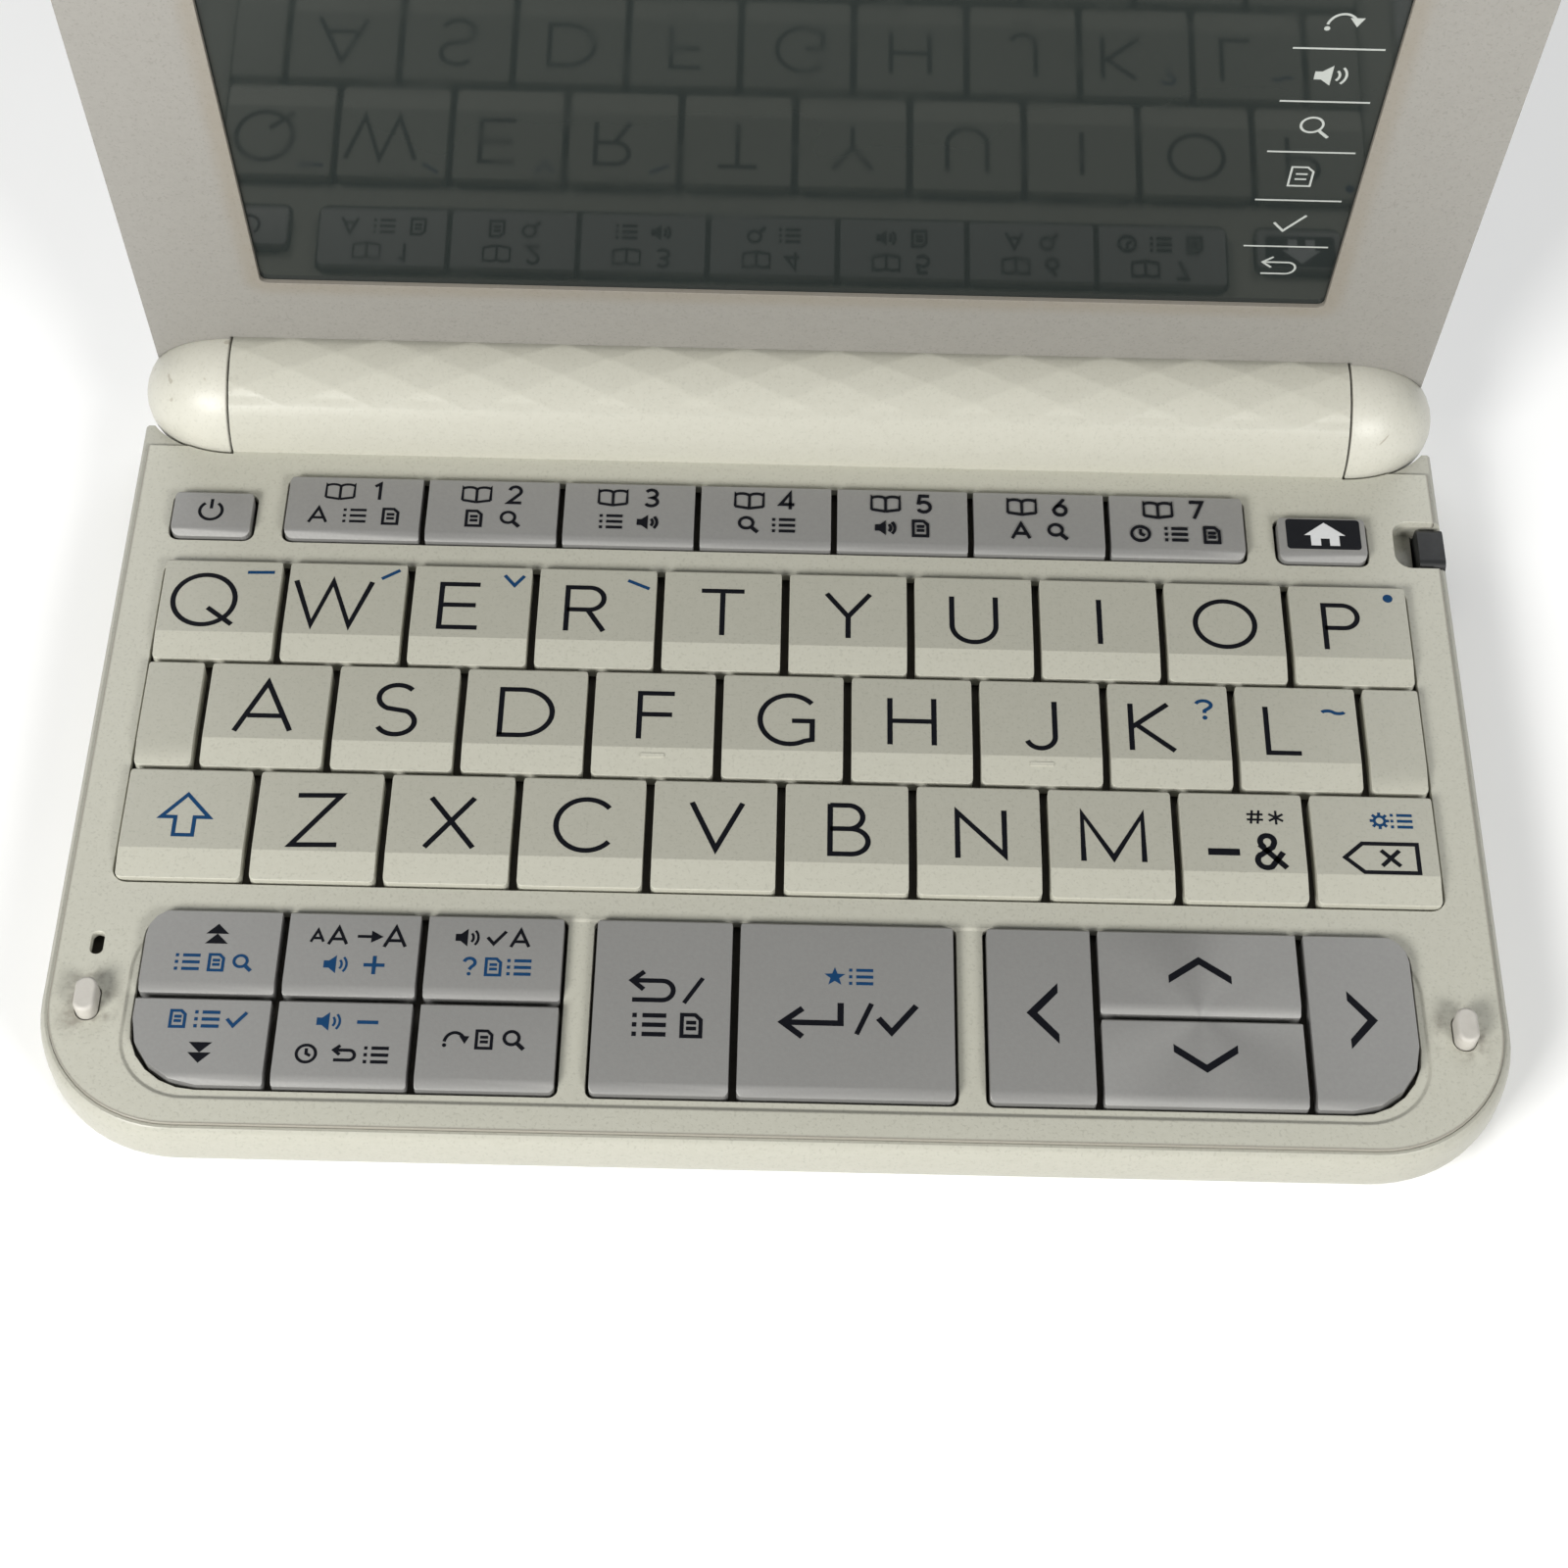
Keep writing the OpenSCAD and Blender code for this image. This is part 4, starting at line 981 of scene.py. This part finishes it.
HASH = [[(x - 0.1, 2.70), (x + 0.1, 4.35)] for x in (1.05, 1.75)] + [
    [(0.55, y), (2.25, y)] for y in (3.2, 3.85)]
ASTERISK = [[(3.6 - c, 3.5 - s), (3.6 + c, 3.5 + s)] for c, s in (
    (0.85 * math.cos(math.radians(turned)), 0.85 * math.sin(math.radians(turned)))
    for turned in (90, 30, -30))]
print_key("key_dash", "symbols", dark_ink, [
    (Ink.stroke, [(-3.75, -0.87), (-0.45, -0.87)], 0.82),
    (Ink.stroke, moved(AMPERSAND, 2.35, -1.25, 0.86), 0.62),
    (draw_lines, HASH + ASTERISK, 0.24)])
print_key("key_delete", "symbol", dark_ink, [
    (draw_lines, [[(-3.3, -1.2), (-1.4, 0.55), (4.3, 0.55), (4.3, -2.95), (-1.4, -2.95)],
             [(0.5, -0.25), (2.4, -2.15)], [(0.5, -2.15), (2.4, -0.25)]], 0.46, True)])
COGS = [[(0.7 + r * math.cos(math.tau * i / 8), 3.4 + r * math.sin(math.tau * i / 8))
         for r in (0.62, 1.02)] for i in range(8)]
print_key("key_delete", "blue_symbols", blue_ink, [
    (Ink.stroke, circle(0.7, 3.4, 0.55, 20), 0.30, True), (draw_lines, COGS, 0.32),
    (draw_list, 3.0, 3.4, 0.85, 0.32)])

# Blank caps.
# Two narrow caps of the same plastic fill the ends of the middle row. They are fixed to the plate.
stand_in("row_end_caps", "blank_caps", key_plastic, 0.22, "base", "letter_keys", angle=40.0)

# Silver keys.
# Function, back, enter and arrow keys are caps in fine-grained silver paint with a narrow bevel
# in front; on the up and down pair, broad radial streaks of sheen are painted into the colour.
def silver_paint(name):
    """Fine-grained silver paint; its tint is kept for the painted shade and painted sheen that the keys
    lay over it.
    """
    finish = Finish(name, Metallic=0.35, IOR=1.5)
    cloud = finish.noise(70.0, 3.0)
    grain = finish.noise(2600.0, 2.0, 0.6)
    finish.tint = finish.blend(grain * 0.6 + cloud * 0.4, (0.365, 0.362, 0.352), (0.290, 0.287, 0.278))
    finish.give("Roughness", grain * 0.12 + 0.40)
    finish.bump(grain, 0.00003, 0.4)
    return finish


silver = silver_paint("silver_key_paint")
# Painted shade: the bevels and walls of the silver caps are painted darker than their flat tops.
level = silver.upward().between(0.90, 0.99)
silver.give("Base Color", silver.shaded(silver.tint, level * 0.12 + 0.88))
silver_with_painted_sheen = silver_paint("silver_ray_paint")
rx, ry = silver_with_painted_sheen.axes("XY")
# Painted highlight: light and dark radial streaks round the middle of the up and down pair stand in for
# the sheen of their paint.
around = (ry + 36.2).math("ARCTAN2", rx - 42.5)
painted_ray_sheen = (around * 2.0 + 0.6).math("SINE") * 0.6 + (around * 5.0 + 1.9).math("SINE") * 0.4
silver_with_painted_sheen.give("Base Color", silver_with_painted_sheen.shaded(silver_with_painted_sheen.tint, painted_ray_sheen * 0.12 + 1.0))

for node in ("key_back", "key_enter", "key_left", "key_right"):
    key_cap(node, silver, 0.2, "silver_keys")
for node in ("key_up", "key_down"):
    key_cap(node, silver_with_painted_sheen, 0.2, "silver_keys")
COLUMNS = ("left", "middle", "right")
for column in COLUMNS:
    key_cap("function_keys_" + column, silver, 0.2, "silver_keys")
# The arrow heads are cut off square to the edge they run to.
ARROWS = {
    "left": [(-1.45, 0), (1.75, 3.45), (1.75, 2.35), (-0.35, 0), (1.75, -2.35), (1.75, -3.45)],
    "right": [(1.45, 0), (-1.45, 3.30), (-1.45, 2.20), (0.40, 0), (-1.45, -2.20), (-1.45, -3.30)],
    "up": [(0.05, 1.75), (3.25, -0.45), (3.25, -1.35), (0.05, 0.85), (-3.10, -1.35), (-3.10, -0.45)],
    "down": [(0.15, -1.20), (3.35, 1.05), (3.35, 1.95), (0.15, -0.30), (-3.05, 1.95), (-3.05, 1.05)],
}
for way, outline in ARROWS.items():
    print_key("key_" + way, "arrow", dark_ink, [(Ink.fill, outline)])

print_key("key_back", "symbols", dark_ink, [
    (draw_return, -1.3, 1.75, 1.70, 0.50), (Ink.stroke, [(2.2, 0.2), (4.0, 3.1)], 0.44),
    (draw_list, -1.2, -2.35, 1.25, 0.48), (draw_page, 3.0, -2.35, 1.10, 0.40)])
print_key("key_enter", "symbols", dark_ink, [
    (draw_lines, [[(-0.6, 0.6), (-0.6, -1.7), (-6.1, -1.7)], [(-4.4, -0.1), (-6.4, -1.7), (-4.4, -3.3)]],
     0.62),
    (Ink.stroke, [(1.0, -2.9), (2.5, 0.6)], 0.50), (draw_tick, 5.0, -1.2, 1.65, 0.62)])
STAR_TIPS = [(1.1 * (1.0 if i % 2 == 0 else 0.42), math.tau * i / 10) for i in range(10)]
STAR = [(r * math.sin(turn) - 1.2, 3.6 + r * math.cos(turn)) for r, turn in STAR_TIPS]
print_key("key_enter", "blue_symbols", blue_ink, [
    (Ink.fill, STAR), (draw_list, 1.45, 3.65, 0.90, 0.34)])

draw_letter_a = symbol(*[(moved(path, 0, -0.8), 1) for path in LETTERS["a"]])
# Each function column carries two caps; the heights below run from the middle of the column.
# Every line of words on the real caps is a line of plain symbols of the same height here.
DARK_MARKS = {
    "left": [(draw_twin, 0.45, 7.05, 1.15, 1), (draw_twin, 0.30, -6.65, 1.15, -1)],
    "middle": [
        (draw_letter_a, -3.6, 7.0, 0.22, 0.28), (draw_letter_a, -1.5, 7.05, 0.31, 0.32),
        (Ink.stroke, [(0.4, 7.05), (2.1, 7.05)], 0.32),
        (Ink.fill, [(1.8, 7.75), (3.0, 7.05), (1.8, 6.35)]),
        (draw_letter_a, 4.3, 7.05, 0.36, 0.34), (draw_clock, -3.4, -6.45, 0.95, 0.30),
        (draw_return, 0.2, -6.45, 0.85, 0.32), (draw_list, 3.5, -6.45, 0.90, 0.34)],
    "right": [
        (draw_speaker, -2.9, 7.2, 0.98, 0.26), (draw_tick, 0.1, 7.2, 0.80, 0.34),
        (draw_letter_a, 2.6, 7.2, 0.31, 0.32), (draw_jump, -3.2, -4.45, 0.95, 0.32),
        (draw_page, -0.3, -4.45, 0.88, 0.30), (draw_lens, 2.6, -4.45, 0.92, 0.32)],
}
BLUE_SYMBOLS = {
    "left": [
        (draw_list, -2.2, 3.65, 0.92, 0.34), (draw_page, 0.7, 3.65, 0.82, 0.30),
        (draw_lens, 3.3, 3.65, 0.82, 0.30), (draw_page, -2.3, -2.85, 0.82, 0.30),
        (draw_list, 0.6, -2.85, 0.92, 0.34), (draw_tick, 3.5, -2.85, 0.82, 0.34)],
    "middle": [
        (draw_speaker, -1.6, 3.75, 0.98, 0.24), (draw_speaker, -1.6, -2.8, 0.98, 0.24),
        (draw_lines, [[(1.3, 3.75), (3.4, 3.75)], [(1.3, -2.8), (3.4, -2.8)],
                 [(2.35, 2.70), (2.35, 4.80)]], 0.38)],
    "right": [
        (draw_query, -2.4, 3.85, 1.0, 0.34), (draw_page, 0.0, 3.85, 0.85, 0.30),
        (draw_list, 2.6, 3.85, 0.90, 0.34)],
}
for column in COLUMNS:
    print_key("function_keys_" + column, "symbols", dark_ink, DARK_MARKS[column])
    print_key("function_keys_" + column, "blue_symbols", blue_ink, BLUE_SYMBOLS[column])

# Back row.
# Power, seven dictionary keys and home: low caps in the same silver paint. The dictionary keys
# are joined below the plate.
BACK_ROW_TOP = 9.4
for node in ("key_power", "key_home", "dictionary_keys"):
    key_cap(node, silver, 0.18, "silver_keys")
print_key("key_power", "symbol", dark_ink, [
    (draw_lines, [bow(-0.2, 0.15, 1.25, 1.25, 125, 415, 24), [(-0.2, 0.45), (-0.2, 1.80)]], 0.36)])

DIGITS = [
    [[(-0.45, 0.75), (0.15, 1.15), (0.15, -1.15)]],
    [bow(0.0, 0.50, 0.65, 0.65, 165, -35, 12) + [(-0.70, -1.15), (0.75, -1.15)]],
    [bow(0.0, 0.58, 0.62, 0.57, 150, -90, 12) + bow(0.0, -0.57, 0.70, 0.58, 90, -150, 12)],
    [[(0.30, -1.15), (0.30, 1.15), (-0.80, -0.50), (0.75, -0.50)]],
    [[(0.60, 1.15), (-0.45, 1.15), (-0.60, 0.15)] + bow(0.0, -0.42, 0.72, 0.72, 130, -150, 14)],
    [[(0.45, 1.15), (-0.50, -0.05)] + bow(0.0, -0.45, 0.68, 0.68, 150, -200, 20)],
    [[(-0.70, 1.15), (0.70, 1.15), (-0.25, -1.15)]],
]

# Row by row on each cap: a book with a number, and below them two or three small symbols.
DICT_LEFT, DICT_PITCH = -56.0, 15.3143
UPPER_LINE, LOWER_LINE = 28.5, 25.0
BELOW = [
    (draw_letter_a, draw_list, draw_page), (draw_page, draw_lens), (draw_list, draw_speaker),
    (draw_lens, draw_list), (draw_speaker, draw_page), (draw_letter_a, draw_lens),
    (draw_clock, draw_list, draw_page)]
SCALE_BELOW = {draw_letter_a: 0.33, draw_clock: 1.0}
back_row_face = flat_face(0.0, 0.0, BACK_ROW_TOP)
key_marks = Ink()
for i, symbols in enumerate(BELOW):
    x = DICT_LEFT + (i + 0.5) * DICT_PITCH
    draw_book(key_marks, x - 1.9, UPPER_LINE, 1.05, 0.30)
    draw_lines(key_marks, [moved(path, x + 2.4, UPPER_LINE) for path in DIGITS[i]], 0.36)
    for j, draw in enumerate(symbols):
        place = x + 4.0 * (j - (len(symbols) - 1) / 2)
        draw(key_marks, place, LOWER_LINE, SCALE_BELOW.get(draw, 0.95), 0.32)
key_marks.print_on("dictionary_keys_symbols", back_row_face, dark_ink, "dictionary_keys_body")

# The home key has a black field with a plain white house.
black_field = printing("home_black_print", (0.010, 0.011, 0.014), (0.015, 0.016, 0.019), 0.50)
field = Ink()
CORNERS = [(63.8, 27.25), (56.3, 27.25), (56.3, 23.85), (63.8, 23.85)]
field.fill([p for i, (x, y) in enumerate(CORNERS)
            for p in bow(x, y, 0.4, 0.4, 90 * i, 90 * i + 90, 4)])
field.print_on("key_home_field", back_row_face, black_field, "key_home_body")
house = Ink()
house.layer = 6  # well above the field
house.fill([(57.9, 25.40), (60.2, 27.20), (62.5, 25.40), (61.8, 25.40), (61.8, 23.95), (60.7, 23.95),
            (60.7, 24.95), (59.7, 24.95), (59.7, 23.95), (58.6, 23.95), (58.6, 25.40)])
house_ink = printing("home_white_print", (0.72, 0.73, 0.74), (0.66, 0.67, 0.68), 0.3)
house.print_on("key_home_symbol", back_row_face, house_ink, "key_home_body")
